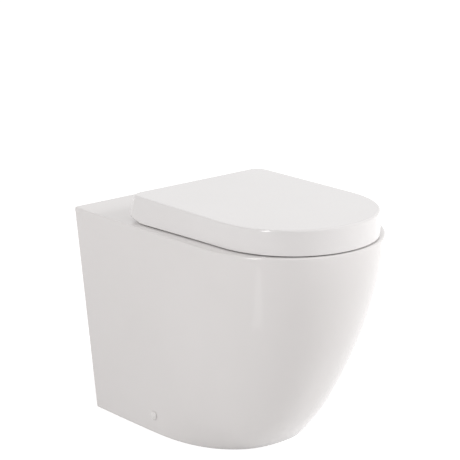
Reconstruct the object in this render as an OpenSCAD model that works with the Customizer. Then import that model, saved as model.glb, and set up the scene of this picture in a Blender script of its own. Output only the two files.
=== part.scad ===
// Back to wall toilet: a floor standing pan with closed sides, a seat ring and a wrap-over lid.
// Millimetres. X runs to the right, the front of the pan faces -Y, Z is up.
// The origin is on the floor, under the middle of the pan. The wall is the plane y = pan_depth / 2.
// Positions along the pan are given as a distance from the wall.

/* [Pan] */
// Width of the rim where it is widest
rim_width = 368; // [350:1:400]
// Width of the rim at the wall
wall_width = 358; // [340:1:366]
// Distance from the wall to the front of the rim
pan_depth = 552; // [530:1:600]
// Height of the rim above the floor
rim_height = 400; // [390:1:440]
// Distance from the wall to where the front curve of the rim starts
rim_curve_start = 360; // [330:1:380]
// Squareness of the rim's front curve, 2 is an ellipse
rim_squareness = 2; // [1.9:0.01:2.6]
// Width of the foot
foot_width = 280; // [260:1:320]
// Distance from the wall to the front of the foot
foot_depth = 367; // [340:1:400]
// Distance from the wall to where the front curve of the foot starts
foot_curve_start = 186; // [170:1:210]
// Squareness of the foot's front curve
foot_squareness = 2.33; // [2:0.01:2.6]
// How fast the front sweeps back towards the foot
front_sweep_power = 1.69; // [1.3:0.01:2.2]
// How far the toe of the foot tucks in
toe_tuck = 14; // [0:1:20]
// Height over which the toe tucks in
toe_height = 90; // [60:1:120]
// Thickness of the ceramic walls
ceramic_wall = 12; // [9:0.5:14]
// Thickness of the ceramic deck and rim
deck_thickness = 14; // [12:0.5:18]
// Radius of the rim's outer edge
rim_edge_radius = 3; // [2:0.5:6]
// Radius of the upright edges at the wall
wall_edge_radius = 2.5; // [2:0.5:10]

/* [Bowl] */
// Width of the bowl's mouth
bowl_width = 256; // [240:1:264]
// Ceramic rim left in front of the bowl's mouth
bowl_front_rim = 42; // [38:1:60]
// Distance from the wall to the back of the bowl's mouth
bowl_back = 212; // [206:1:222]
// Height of the sump's floor above the ground
sump_height = 45; // [42:1:50]
// Width of the sump's floor
sump_width = 84; // [78:1:92]
// Distance from the wall to the back of the sump's floor
sump_back = 290; // [286:1:294]
// Distance from the wall to the front of the sump's floor
sump_front = 345; // [338:1:352]
// Radius of the bowl's inner edge
bowl_edge_radius = 5; // [3:0.5:6]

/* [Trapway and water connections] */
// Bore of the trapway
trap_bore = 72; // [66:1:74]
// Thickness of the trapway's wall
trap_wall = 8; // [7:0.5:8]
// Height of the trapway's crest above the floor, at its centre
trap_crest_height = 217; // [214:1:218]
// Distance from the wall to the trapway's crest
trap_crest_from_wall = 178; // [177:1:182]
// Outside diameter of the outlet spigot
outlet_diameter = 102; // [98:1:110]
// Height of the outlet's centre above the floor
outlet_height = 185; // [183:1:188]
// Distance from the wall to the end of the outlet spigot
outlet_from_wall = 50; // [30:1:60]
// Length of the outlet spigot
outlet_length = 50; // [40:1:52]
// Height of the flush inlet's centre above the floor
inlet_height = 335; // [330:1:337]
// Diameter of the flush inlet's socket
inlet_socket_diameter = 60; // [56:0.5:62]
// Depth of the flush inlet's socket
inlet_socket_depth = 35; // [30:1:45]
// Distance from the wall to the mouth of the flush inlet
inlet_from_wall = 30; // [20:1:45]
// Diameter of the flush pipe that the seal takes
flush_pipe_diameter = 44; // [40:0.5:46]

/* [Lid] */
// Width of the lid's lower edge where its front curve starts
lid_width = 317; // [312:1:322]
// Width of the lid's lower edge at the back
lid_back_width = 333; // [326:1:338]
// Distance from the wall to the widest line of the lid's rounded back
lid_back_from_wall = 131; // [130:0.5:136]
// How far the lid stays behind the front of the rim
lid_front_inset = 4; // [2:0.5:10]
// Distance from the wall to where the lid's front curve starts
lid_curve_start = 385; // [370:1:390]
// Squareness of the lid's front curve
lid_squareness = 2.04; // [2:0.01:2.4]
// Gap between the rim and the lid's lower edge
lid_gap = 2; // [2:0.5:5]
// Height of the lid's top edge above the rim
lid_top = 46; // [44:0.5:48]
// How much higher the lid's top is in the middle
lid_crown = 1.6; // [0:0.2:2]
// How much narrower the lid's top is on each side
lid_draft = 1; // [0.5:0.1:4]
// How much further the lid's top narrows at its back corners
lid_back_draft = 10.3; // [7:0.1:12]
// How far the lid's back leans forward between its widest line and its top
lid_back_lean = 3; // [3:0.5:14.5]
// Radius of the lid's back corners, seen from above
lid_corner = 22; // [16:1:26]
// Radius of the same corners at the lid's lower edge
lid_low_corner = 43; // [30:1:46]
// Radius of the lid's top edge
lid_edge_radius = 3.5; // [2:0.5:5]
// Thickness of the lid
lid_wall = 4.5; // [4:0.25:5]

/* [Seat ring] */
// Height of the seat ring's underside above the rim
seat_gap = 6; // [5:0.5:7]
// Height of the seat ring from its underside to its crown
seat_height = 22; // [20:0.5:23]
// Space between the seat ring and the inside of the lid
seat_side_gap = 3; // [2:0.5:4]
// Width of the seat ring's opening
seat_hole_width = 196; // [180:1:210]
// Distance from the wall to the back of the seat ring's opening
seat_hole_back = 232; // [225:1:240]
// Width of the seat ring at the front
seat_front_width = 62; // [55:1:75]
// Thickness of the seat ring's shell
seat_shell = 5; // [4:0.5:6]
// Diameter of the seat ring's rubber bumpers
seat_bumper_diameter = 15; // [12:0.5:16]

/* [Hinges] */
// Distance between the two seat fixing holes
hinge_spacing = 155; // [150:1:160]
// Distance from the wall to the hinge line
hinge_from_wall = 150.5; // [150:0.25:151]
// Height of the hinge line above the rim
hinge_height = 25; // [24.75:0.25:25.5]
// Diameter of the seat fixing holes
seat_hole_diameter = 15; // [13:0.5:16]
// Width of a hinge block
block_width = 34; // [34:0.5:35]
// Radius of a hinge block's rounded top
block_radius = 11.5; // [11:0.25:11.5]
// Diameter of the soft-close damper cartridges
damper_diameter = 16; // [15:0.5:17]
// Diameter of the damper shafts
damper_shaft_diameter = 9; // [8:0.5:9]
// Diameter of the plain hinge pins
hinge_pin_diameter = 8; // [7:0.5:8]
// Diameter of the seat fixing bolts
fixing_bolt_diameter = 8; // [8:1:8]
// Diameter of the base discs
base_disc_diameter = 33; // [32:0.5:33]
// Diameter of the release buttons
button_diameter = 9; // [8:0.5:9.5]
// Travel of the release buttons
button_travel = 2; // [1.5:0.25:2]

/* [Floor fixing] */
// Distance from the wall to the side fixing screws
side_fix_from_wall = 184; // [178:1:186]
// Height of the side fixing screws above the floor
side_fix_height = 36; // [34:1:40]
// Diameter of the screw covers
screw_cap_diameter = 16; // [15:0.5:18]
// How far the floor screw holes are in from the sides of the foot
floor_hole_inset = 48; // [45:1:50]
// Diameter of the floor screw holes
floor_hole_diameter = 8; // [7:0.5:9]

/* [Hidden] */
$fn = 48;

white = [0.93, 0.93, 0.92];
chrome = [0.8, 0.81, 0.83];
steel = [0.6, 0.61, 0.63];
rubber = [0.22, 0.22, 0.23];
grey_plastic = [0.5, 0.51, 0.53];
off_white = [0.85, 0.85, 0.83];

LEFT = -1;
RIGHT = 1;
SIDES = [LEFT, RIGHT];
running_gap = 0.08;     // radial gap of a pin that turns
fitted_gap = 0.05;      // gap of a piece that is held without turning
seat_clearance = 0.3;   // gap between a piece and what carries it
ceramic_clearance = 0.3;
cut = 1;                // how far a cut runs past the face that it opens
corner_steps = 3;
side_steps = 5;
curve_steps = 36;
bowl_steps = 40;

cavity_top = rim_height - deck_thickness;
bowl_front = pan_depth - bowl_front_rim;

// ---------- shapes that repeat ----------

function y_at(from_wall) = pan_depth / 2 - from_wall;

function oval_x(half, angle, squareness) =
    half * sign(cos(angle)) * pow(abs(cos(angle)), 2 / squareness);
function oval_y(half, angle, squareness) =
    half * sign(sin(angle)) * pow(abs(sin(angle)), 2 / squareness);

// The right half of a D: a rounded back corner, then a side that runs up to the front curve
function d_side(half, back_half, back, start, corner, ease, corners) = concat(
    [for (i = [0:corners])
        let (angle = -90 + 90 * i / corners)
        [back_half - corner + corner * cos(angle), back + corner + corner * sin(angle)]],
    [for (i = [1:side_steps - 1])
        let (s = i / side_steps)
        [half - (half - back_half) * pow(1 - s, ease), back + corner + s * (start - back - corner)]]
);

// A D shape as [x, distance from the wall], clockwise from above. The ease is the power with which its
// sides go over into the front curve.
function d_outline(
    half, back_half, back, start, front, squareness, corner, ease = 2, corners = corner_steps
) =
    let (side = d_side(half, back_half, back, start, corner, ease, corners), last = len(side) - 1)
    concat(
        side,
        [for (i = [0:curve_steps])
            let (angle = 180 * i / curve_steps)
            [oval_x(half, angle, squareness), start + oval_y(front - start, angle, squareness)]],
        [for (i = [last:-1:0]) [-side[i][0], side[i][1]]]
    );

function ring_at(outline, z) = [for (p = outline) [p[0], y_at(p[1]), z]];

// A solid through a stack of rings that all have the same number of points, lowest ring first
module loft(rings) {
    count = len(rings[0]);
    top = len(rings) - 1;
    polyhedron(
        points = [for (ring = rings) each ring],
        faces = concat(
            [[for (i = [count - 1:-1:0]) i]],
            [[for (i = [0:count - 1]) top * count + i]],
            [for (k = [0:top - 1], i = [0:count - 1])
                let (next = (i + 1) % count)
                [k * count + i, k * count + next, (k + 1) * count + next]],
            [for (k = [0:top - 1], i = [0:count - 1])
                let (next = (i + 1) % count)
                [k * count + i, (k + 1) * count + next, (k + 1) * count + i]]
        )
    );
}

// A cylinder along X from x_low to x_high
module x_cylinder(radius, x_low, x_high) {
    translate([x_low, 0, 0])
        rotate([0, 90, 0])
            cylinder(r = radius, h = x_high - x_low);
}

// A cylinder along Y between two distances from the wall
module wall_cylinder(radius, near, far) {
    translate([0, y_at(near), 0])
        rotate([90, 0, 0])
            cylinder(r = radius, h = far - near);
}

// A box between two corners
module box(low, high) {
    translate(low)
        cube(high - low);
}

// ---------- pan ----------

function rise(z) = min(max(z / (rim_height - rim_edge_radius), 0), 1);
function toe(z) = toe_tuck * pow(max(1 - max(z, 0) / toe_height, 0), 2);
function pan_half(z) = foot_width / 2 + (rim_width - foot_width) / 2 * rise(z);
function pan_front(z) =
    pan_depth - (pan_depth - foot_depth - toe_tuck) * pow(1 - rise(z), front_sweep_power) - toe(z);
function pan_curve_start(z) =
    rim_curve_start - (rim_curve_start - foot_curve_start) * pow(1 - rise(z), front_sweep_power);
function pan_squareness(z) = foot_squareness + (rim_squareness - foot_squareness) * rise(z);

// The pan's outline at a height, drawn in by an inset, with its back edge at a distance from the wall
function pan_ring(z, inset, back, corner) =
    ring_at(
        d_outline(
            pan_half(z) - inset,
            pan_half(z) * wall_width / rim_width - inset,
            back,
            pan_curve_start(z),
            pan_front(z) - inset,
            pan_squareness(z),
            corner
        ),
        z
    );

skirt_levels = [0, 0.03, 0.08, 0.15, 0.25, 0.37, 0.5, 0.63, 0.76, 0.88];
edge_angles = [0, 30, 60, 90];

module pan_outside() {
    loft(concat(
        [for (level = skirt_levels) pan_ring(level * rim_height, 0, 0, wall_edge_radius)],
        [for (angle = edge_angles)
            pan_ring(
                rim_height - rim_edge_radius * (1 - sin(angle)),
                rim_edge_radius * (1 - cos(angle)),
                0,
                wall_edge_radius
            )]
    ));
}

module pan_hollow() {
    loft(concat(
        [pan_ring(-cut, ceramic_wall, -cut, wall_edge_radius)],
        [for (level = skirt_levels) pan_ring(level * cavity_top + 0.5, ceramic_wall, -cut, wall_edge_radius)],
        [pan_ring(cavity_top, ceramic_wall, -cut, wall_edge_radius)]
    ));
}

// How far up the bowl a height is, 0 at the sump's floor and 1 at the rim
function bowl_rise(z) = min(max((z - sump_height) / (rim_height - sump_height), 0), 1);
function bowl_rear_at(z) = sump_back - (sump_back - bowl_back) * pow(bowl_rise(z), 2);
function bowl_front_at(z) = sump_front + (bowl_front - sump_front) * pow(bowl_rise(z), 0.6);
function bowl_half_at(z) = sump_width / 2 + (bowl_width - sump_width) / 2 * pow(bowl_rise(z), 0.6);

// An oval ring of the bowl, grown outwards, drawn at a height of its own
function bowl_ring(shape_z, grow, z) =
    let (
        rear = bowl_rear_at(shape_z) - grow,
        front = bowl_front_at(shape_z) + grow,
        half = bowl_half_at(shape_z) + grow
    )
    [for (i = [0:bowl_steps - 1])
        let (angle = 360 * i / bowl_steps)
        [
            oval_x(half, angle, 2.2),
            y_at((rear + front) / 2 + oval_y((front - rear) / 2, angle, 2.2)),
            z
        ]];

bowl_levels = [for (i = [0:9]) pow(i / 10, 1.7)];
function bowl_z(level) = sump_height + level * (rim_height - bowl_edge_radius - sump_height);

module bowl_inside() {
    loft(concat(
        [for (level = bowl_levels) bowl_ring(bowl_z(level), 0, bowl_z(level))],
        [for (angle = edge_angles)
            bowl_ring(
                rim_height,
                bowl_edge_radius * (1 - cos(angle)),
                rim_height - bowl_edge_radius * (1 - sin(angle))
            )],
        [bowl_ring(rim_height, bowl_edge_radius, rim_height + cut)]
    ));
}

module bowl_outside() {
    loft(concat(
        [for (level = bowl_levels) bowl_ring(bowl_z(level), ceramic_wall, bowl_z(level) - ceramic_wall)],
        [bowl_ring(rim_height, ceramic_wall, cavity_top + cut)]
    ));
}

// Points along the trapway as [distance from the wall, height], from the sump over the crest
trap_start_shift = [10, 23];    // from the sump's floor to where the trapway starts
trap_start = [sump_back, sump_height] + trap_start_shift;
trap_crest = [trap_crest_from_wall, trap_crest_height];
trap_end = [outlet_from_wall + outlet_length - 2, outlet_height];
trap_steps = 9;

function bezier(a, b, c, d, t) =
    a * pow(1 - t, 3) + b * 3 * t * pow(1 - t, 2) + c * 3 * pow(t, 2) * (1 - t) + d * pow(t, 3);
function bezier_slope(a, b, c, d, t) =
    (b - a) * pow(1 - t, 2) + (c - b) * 2 * t * (1 - t) + (d - c) * pow(t, 2);

start_pull = [-60, 74]; // which way the trapway leaves the sump, and how far it keeps to that
crest_pull = [58, 0];   // the same before the crest
drop_pull = [36, 0];    // the same for both ends of the fall
trap_climb = [trap_start, trap_start + start_pull, trap_crest + crest_pull, trap_crest];
trap_fall = [trap_crest, trap_crest - drop_pull, trap_end + drop_pull, trap_end];

// A ring of a round tube that runs in the middle plane of the pan
function tube_ring(point, slope, radius, count) =
    let (along = slope / norm(slope))
    [for (i = [0:count - 1])
        let (angle = -360 * i / count, out = radius * sin(angle))
        [radius * cos(angle), y_at(point[0] - out * along[1]), point[1] + out * along[0]]];

function trap_rings(curve, radius, first) =
    [for (i = [first:trap_steps])
        let (t = i / trap_steps)
        tube_ring(
            bezier(curve[0], curve[1], curve[2], curve[3], t),
            bezier_slope(curve[0], curve[1], curve[2], curve[3], t),
            radius,
            20
        )];

module trapway(radius) {
    loft(concat(trap_rings(trap_climb, radius, 0), trap_rings(trap_fall, radius, 1)));
}

inlet_passage_radius = inlet_socket_diameter / 2 - 6;
inlet_outer_radius = inlet_socket_diameter / 2 + trap_wall;
inlet_run_stop = 45;    // from the end of the inlet's outside to the sump

module pan() {
    color(white)
        difference() {
            union() {
                difference() {
                    pan_outside();
                    pan_hollow();
                }
                bowl_outside();
                trapway(trap_bore / 2 + trap_wall);
                translate([0, 0, outlet_height])
                    wall_cylinder(outlet_diameter / 2, outlet_from_wall, outlet_from_wall + outlet_length);
                translate([0, 0, inlet_height])
                    wall_cylinder(inlet_outer_radius, inlet_from_wall, sump_back - inlet_run_stop);
                box(
                    [-trap_wall, y_at(bowl_back), inlet_height + inlet_outer_radius - 4],
                    [trap_wall, y_at(inlet_from_wall + 12), cavity_top + cut]
                );
            }
            bowl_inside();
            trapway(trap_bore / 2);
            translate([0, 0, outlet_height])
                wall_cylinder(
                    trap_bore / 2 + 3,
                    outlet_from_wall - cut,
                    outlet_from_wall + outlet_length
                );
            translate([0, 0, inlet_height]) {
                wall_cylinder(
                    inlet_socket_diameter / 2,
                    inlet_from_wall - cut,
                    inlet_from_wall + inlet_socket_depth
                );
                wall_cylinder(inlet_passage_radius, inlet_from_wall, bowl_back + 60);
            }
            for (side = SIDES) {
                at_deck(side)
                    translate([0, 0, -deck_thickness - cut])
                        cylinder(d = seat_hole_diameter, h = deck_thickness + 2 * cut);
                at_side_fixing(side)
                    translate([0, 0, -2 * ceramic_wall])
                        cylinder(d = side_hole_diameter, h = 2 * ceramic_wall + 5);
            }
        }
}

// ---------- water connection ----------

module flush_seal() {
    flange = 4;
    color(rubber)
        translate([0, 0, inlet_height])
            difference() {
                union() {
                    wall_cylinder(
                        inlet_socket_diameter / 2 - fitted_gap,
                        inlet_from_wall,
                        inlet_from_wall + inlet_socket_depth - 2
                    );
                    wall_cylinder(inlet_socket_diameter / 2 + 5, inlet_from_wall - flange, inlet_from_wall);
                }
                wall_cylinder(
                    flush_pipe_diameter / 2 + 0.2,
                    inlet_from_wall - flange - cut,
                    inlet_from_wall + inlet_socket_depth
                );
            }
}

// ---------- floor fixing ----------

side_hole_diameter = 11;
side_screw_radius = 2.4;
screw_head_radius = 4.2;
bush_flange_radius = 6.4;
bush_flange_thickness = 1.2;
screw_head_height = 1.8;
side_fix_lean = atan((rim_width - foot_width) / 2 / rim_height);
bracket_width = 40;
bracket_plate = 6;
bracket_leg = 14;
floor_hole_spacing = foot_width - 2 * floor_hole_inset;

// Half width of the pan at a height and a distance from the wall
function pan_half_at(z, from_wall) =
    let (
        half = pan_half(z),
        back_half = half * wall_width / rim_width,
        s = min((from_wall - wall_edge_radius) / (pan_curve_start(z) - wall_edge_radius), 1)
    )
    half - (half - back_half) * pow(1 - s, 2);

// On the pan's outer face at a side fixing hole, +Z straight out of the face
module at_side_fixing(side) {
    mirror([side == LEFT ? 1 : 0, 0, 0])
        translate([pan_half_at(side_fix_height, side_fix_from_wall), y_at(side_fix_from_wall), side_fix_height])
            rotate([0, 90 + side_fix_lean, 0])
                children();
}

module floor_bracket(side) {
    inner_x = floor_hole_spacing / 2 - 16;
    color(off_white)
        difference() {
            intersection() {
                union() {
                    at_side_fixing(side)
                        translate([-18, -bracket_width / 2, -ceramic_wall - 1 - bracket_leg])
                            cube([18 + 2 * side_fix_height, bracket_width, bracket_leg]);
                    mirror([side == LEFT ? 1 : 0, 0, 0])
                        box(
                            [inner_x, y_at(side_fix_from_wall) - bracket_width / 2, 0],
                            [
                                pan_half_at(0, side_fix_from_wall) - ceramic_wall - 3,
                                y_at(side_fix_from_wall) + bracket_width / 2,
                                bracket_plate
                            ]
                        );
                }
                box([-rim_width, -pan_depth, 0], [rim_width, pan_depth, rim_height]);
            }
            at_side_fixing(side)
                translate([0, 0, -2 * bracket_width])
                    cylinder(r = side_screw_radius + fitted_gap, h = 2 * bracket_width);
            translate([side * floor_hole_spacing / 2, y_at(side_fix_from_wall), -cut])
                cylinder(d = floor_hole_diameter, h = bracket_plate + 2 * cut);
        }
}

module floor_bracket_left() {
    floor_bracket(LEFT);
}

module floor_bracket_right() {
    floor_bracket(RIGHT);
}

module side_bushes() {
    color(off_white)
        for (side = SIDES)
            at_side_fixing(side)
                difference() {
                    union() {
                        translate([0, 0, -ceramic_wall])
                            cylinder(r = side_hole_diameter / 2 - ceramic_clearance, h = ceramic_wall + 1);
                        translate([0, 0, ceramic_clearance])
                            cylinder(r = bush_flange_radius, h = bush_flange_thickness);
                    }
                    translate([0, 0, -ceramic_wall - cut])
                        cylinder(r = side_screw_radius + fitted_gap, h = ceramic_wall + 5);
                }
}

module side_screws() {
    head_base = ceramic_clearance + bush_flange_thickness;
    color(steel)
        for (side = SIDES)
            at_side_fixing(side)
                difference() {
                    union() {
                        translate([0, 0, -ceramic_wall - bracket_leg - 8])
                            cylinder(r = side_screw_radius, h = ceramic_wall + bracket_leg + 8 + head_base);
                        translate([0, 0, head_base])
                            cylinder(r = screw_head_radius, h = screw_head_height);
                    }
                    for (turn = [0, 90])
                        rotate([0, 0, turn])
                            translate([-2.4, -0.5, head_base + 1])
                                cube([4.8, 1, screw_head_height]);
                }
}

// A thin domed cover that clips over the bush
module screw_cap(side) {
    radius = screw_cap_diameter / 2;
    skirt = 2;
    dome = 3;
    head_room = 0.5;
    dome_radius = (pow(radius, 2) + pow(dome, 2)) / (2 * dome);
    color(white)
        at_side_fixing(side)
            translate([0, 0, ceramic_clearance])
                difference() {
                    intersection() {
                        cylinder(r = radius, h = skirt + dome);
                        translate([0, 0, skirt + dome - dome_radius])
                            sphere(r = dome_radius);
                    }
                    translate([0, 0, -cut])
                        cylinder(r = bush_flange_radius + fitted_gap, h = skirt - 0.6 + cut);
                    translate([0, 0, -cut])
                        cylinder(
                            r = screw_head_radius + head_room,
                            h = bush_flange_thickness + screw_head_height + head_room + cut
                        );
                }
}

module screw_cap_left() {
    screw_cap(LEFT);
}

module screw_cap_right() {
    screw_cap(RIGHT);
}

// ---------- seat fixing through the deck ----------

gasket_thickness = 1;
disc_thickness = 3;
post_radius = 5;
post_height = 15;
bolt_length = 46;
cone_washer_height = 7;
cone_washer_radius = seat_hole_diameter / 2 + 5.5;
wing_nut_height = 9;
wing_nut_hub_radius = fixing_bolt_diameter;
wing_reach = cone_washer_radius + 6;

// On the rim at a seat fixing hole
module at_deck(side) {
    translate([side * hinge_spacing / 2, y_at(hinge_from_wall), rim_height])
        children();
}

// A threaded bolt from below the deck whose head is the post that the hinge block drops on
module fixing_bolt(side) {
    neck = 1;
    color(steel)
        at_deck(side) {
            translate([0, 0, -bolt_length])
                cylinder(d = fixing_bolt_diameter, h = bolt_length + gasket_thickness + disc_thickness);
            translate([0, 0, gasket_thickness + disc_thickness])
                rotate_extrude()
                    polygon([
                        [0, 0],
                        [post_radius, 0],
                        [post_radius, 3],
                        [post_radius - neck, 4],
                        [post_radius - neck, 6],
                        [post_radius, 7],
                        [post_radius, post_height - 5.5],
                        [post_radius - 1.5, post_height - 4],
                        [0, post_height - 4]
                    ]);
        }
}

module fixing_bolt_left() {
    fixing_bolt(LEFT);
}

module fixing_bolt_right() {
    fixing_bolt(RIGHT);
}

module base_gaskets() {
    color(rubber)
        for (side = SIDES)
            at_deck(side)
                difference() {
                    cylinder(d = base_disc_diameter - 1, h = gasket_thickness);
                    translate([0, 0, -cut])
                        cylinder(d = fixing_bolt_diameter + 2 * fitted_gap, h = gasket_thickness + 2 * cut);
                }
}

module base_disc(side) {
    radius = base_disc_diameter / 2;
    color(chrome)
        at_deck(side)
            difference() {
                translate([0, 0, gasket_thickness])
                    rotate_extrude()
                        polygon([
                            [0, 0],
                            [radius, 0],
                            [radius, disc_thickness - 1],
                            [radius - 1, disc_thickness],
                            [0, disc_thickness]
                        ]);
                cylinder(d = fixing_bolt_diameter + 2 * fitted_gap, h = 10);
            }
}

module base_disc_left() {
    base_disc(LEFT);
}

module base_disc_right() {
    base_disc(RIGHT);
}

module cone_washers() {
    color(rubber)
        for (side = SIDES)
            at_deck(side)
                translate([0, 0, -deck_thickness])
                    difference() {
                        rotate_extrude()
                            polygon([
                                [0, -cone_washer_height],
                                [cone_washer_radius, -cone_washer_height],
                                [cone_washer_radius, 0],
                                [seat_hole_diameter / 2 - seat_clearance, 0],
                                [seat_hole_diameter / 2 - 2, 5],
                                [0, 5]
                            ]);
                        translate([0, 0, -cone_washer_height - cut])
                            cylinder(d = fixing_bolt_diameter + 2 * fitted_gap, h = 20);
                    }
}

module wing_nuts() {
    color(off_white)
        for (side = SIDES)
            at_deck(side)
                translate([0, 0, -deck_thickness - cone_washer_height - wing_nut_height])
                    difference() {
                        union() {
                            cylinder(r = wing_nut_hub_radius, h = wing_nut_height);
                            box([-wing_reach, -1.75, 0], [wing_reach, 1.75, wing_nut_height - 2]);
                        }
                        translate([0, 0, -cut])
                            cylinder(d = fixing_bolt_diameter + 2 * fitted_gap, h = wing_nut_height + 2 * cut);
                    }
}

// ---------- hinges ----------

block_foot = gasket_thickness + disc_thickness + seat_clearance;
block_nose = 16;
block_nose_height = 16;
damper_length = 22;
damper_socket_depth = 17;
hinge_pin_depth = 9.5;
side_gap = 0.8;         // between a hinge block and the ears beside it
ear_width = 14.2;
ear_radius = 9.5;
bush_wall = 2;
shaft_flat = 1.5;
button_height = 10.5;
button_length = 7;
button_socket_depth = 9.6;

// At the middle of a hinge block, on the hinge line
module at_hinge(side) {
    translate([side * hinge_spacing / 2, y_at(hinge_from_wall), rim_height + hinge_height])
        children();
}

module hinge_block(side) {
    half = block_width / 2;
    color(chrome)
        difference() {
            union() {
                at_hinge(side)
                    x_cylinder(block_radius, -half, half);
                at_deck(side)
                    box([-half, -block_radius, block_foot], [half, block_radius, hinge_height]);
                at_deck(side)
                    box([-half, -block_nose, block_foot], [half, 0, block_nose_height]);
            }
            at_deck(side)
                cylinder(r = post_radius + fitted_gap, h = post_height + 0.5);
            at_hinge(side)
                x_cylinder(damper_diameter / 2 + fitted_gap, half - damper_length - fitted_gap, half + cut);
            at_hinge(side)
                x_cylinder(hinge_pin_diameter / 2 + fitted_gap, -half - cut, -half + hinge_pin_depth);
            at_deck(side)
                translate([0, -block_nose - cut, button_height])
                    rotate([-90, 0, 0])
                        cylinder(d = button_diameter + 4 * running_gap, h = button_socket_depth + cut);
        }
}

module hinge_block_left() {
    hinge_block(LEFT);
}

module hinge_block_right() {
    hinge_block(RIGHT);
}

// The still part of a soft-close damper, pressed into its hinge block
module damper(side) {
    half = block_width / 2;
    color(grey_plastic)
        at_hinge(side)
            difference() {
                x_cylinder(damper_diameter / 2, half - damper_length, half);
                x_cylinder(damper_shaft_diameter / 2 + running_gap, half - damper_socket_depth, half + cut);
            }
}

module damper_left() {
    damper(LEFT);
}

module damper_right() {
    damper(RIGHT);
}

// The turning part of a damper: round in the cartridge, with a flat where the ear drives it
module damper_shaft(side) {
    half = block_width / 2;
    radius = damper_shaft_diameter / 2;
    ear_end = half + side_gap + ear_width - 1;
    color(steel)
        at_hinge(side)
            difference() {
                x_cylinder(radius, half - damper_socket_depth + seat_clearance, ear_end);
                box([half + side_gap, -radius - cut, radius - shaft_flat], [ear_end + cut, radius + cut, radius + cut]);
            }
}

module damper_shaft_left() {
    damper_shaft(LEFT);
}

module damper_shaft_right() {
    damper_shaft(RIGHT);
}

// A plain pin on the other side of a hinge block
module hinge_pin(side) {
    half = block_width / 2;
    color(steel)
        at_hinge(side)
            x_cylinder(
                hinge_pin_diameter / 2,
                -half - side_gap - ear_width + 1,
                -half + hinge_pin_depth - seat_clearance
            );
}

module lid_hinge_pin() {
    hinge_pin(LEFT);
}

module seat_hinge_pin() {
    hinge_pin(RIGHT);
}

module hinge_bush(side) {
    outer = -block_width / 2 - side_gap;
    color(off_white)
        at_hinge(side)
            difference() {
                x_cylinder(hinge_pin_diameter / 2 + bush_wall, outer - ear_width + 1, outer);
                x_cylinder(hinge_pin_diameter / 2 + running_gap, outer - ear_width, outer + cut);
            }
}

module lid_hinge_bush() {
    hinge_bush(LEFT);
}

module seat_hinge_bush() {
    hinge_bush(RIGHT);
}

// The hole in an ear that takes a hinge bush
module bush_hole(side) {
    at_hinge(side)
        x_cylinder(
            hinge_pin_diameter / 2 + bush_wall + fitted_gap,
            -block_width / 2 - side_gap - ear_width + 1 - fitted_gap,
            -block_width / 2 - side_gap + cut
        );
}

// The hole in an ear that takes the flat on a damper shaft
module shaft_hole(side) {
    near = block_width / 2 + side_gap;
    radius = damper_shaft_diameter / 2 + fitted_gap;
    at_hinge(side)
        difference() {
            x_cylinder(radius, near - cut, near + ear_width - 1 + fitted_gap);
            box(
                [near - 2 * cut, -radius - cut, damper_shaft_diameter / 2 - shaft_flat + fitted_gap],
                [near + ear_width, radius + cut, radius + cut]
            );
        }
}

module release_button(side) {
    face = -block_nose - button_travel;
    color(chrome)
        at_deck(side)
            translate([0, face, button_height])
                rotate([-90, 0, 0])
                    rotate_extrude()
                        polygon([
                            [0, 0],
                            [button_diameter / 2 - 0.6, 0],
                            [button_diameter / 2, 0.6],
                            [button_diameter / 2, button_length],
                            [0, button_length]
                        ]);
}

module release_button_left() {
    release_button(LEFT);
}

module release_button_right() {
    release_button(RIGHT);
}

// The spring behind a release button, as a plain sleeve of its outer shape
module release_spring(side) {
    start = -block_nose - button_travel + button_length;
    length = button_socket_depth + button_travel - button_length - 0.1;
    color(steel)
        at_deck(side)
            translate([0, start, button_height])
                rotate([-90, 0, 0])
                    difference() {
                        cylinder(d = button_diameter - 2, h = length);
                        translate([0, 0, -cut])
                            cylinder(d = button_diameter - 4, h = length + 2 * cut);
                    }
}

module release_spring_left() {
    release_spring(LEFT);
}

module release_spring_right() {
    release_spring(RIGHT);
}

// ---------- lid ----------

lid_front = pan_depth - lid_front_inset;
lid_ceiling = lid_top - lid_wall;
lid_widest = 12;        // height of the widest line of the lid's back above the rim
lid_sweep = hinge_height - 1.6;     // radius that the lid's back may reach below the hinge line
lid_side_ease = 1.25;
lid_corner_steps = 6;

// How far the back of the lid lies in front of its widest line, at a height above the rim
function lid_back_in(v) =
    v < lid_widest
    ? lid_widest_reach - sqrt(pow(lid_sweep, 2) - pow(hinge_height - v, 2))
    : lid_back_lean * (v - lid_widest) / (lid_top - lid_widest);
lid_widest_reach = sqrt(pow(lid_sweep, 2) - pow(hinge_height - lid_widest, 2));

// The radius of the back corners at a height above the rim. Below the widest line they curl in.
function lid_corner_at(v) =
    lid_corner + (lid_low_corner - lid_corner) * pow(max((lid_widest - v) / (lid_widest - lid_gap), 0), 2);

// An outline of the lid at a height above the rim, drawn in by an inset
function lid_outline(v, inset) =
    let (s = max(v - lid_gap, 0) / (lid_top - lid_gap))
    d_outline(
        lid_width / 2 - lid_draft * s - inset,
        lid_back_width / 2 - (lid_draft + lid_back_draft) * s - inset,
        lid_back_from_wall + lid_back_in(v) + inset,
        lid_curve_start,
        lid_front - lid_draft * s - inset,
        lid_squareness,
        lid_corner_at(v) - inset,
        lid_side_ease,
        lid_corner_steps
    );

// How much the crown of the lid raises a point of its outside
function lid_crown_at(x, v) =
    lid_crown * (1 - pow(2 * x / lid_width, 2)) * max((v - lid_widest) / (lid_top - lid_widest), 0);

function lid_ring(v, inset) =
    [for (p = lid_outline(v, inset)) [p[0], y_at(p[1]), rim_height + v + lid_crown_at(p[0], v)]];

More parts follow.
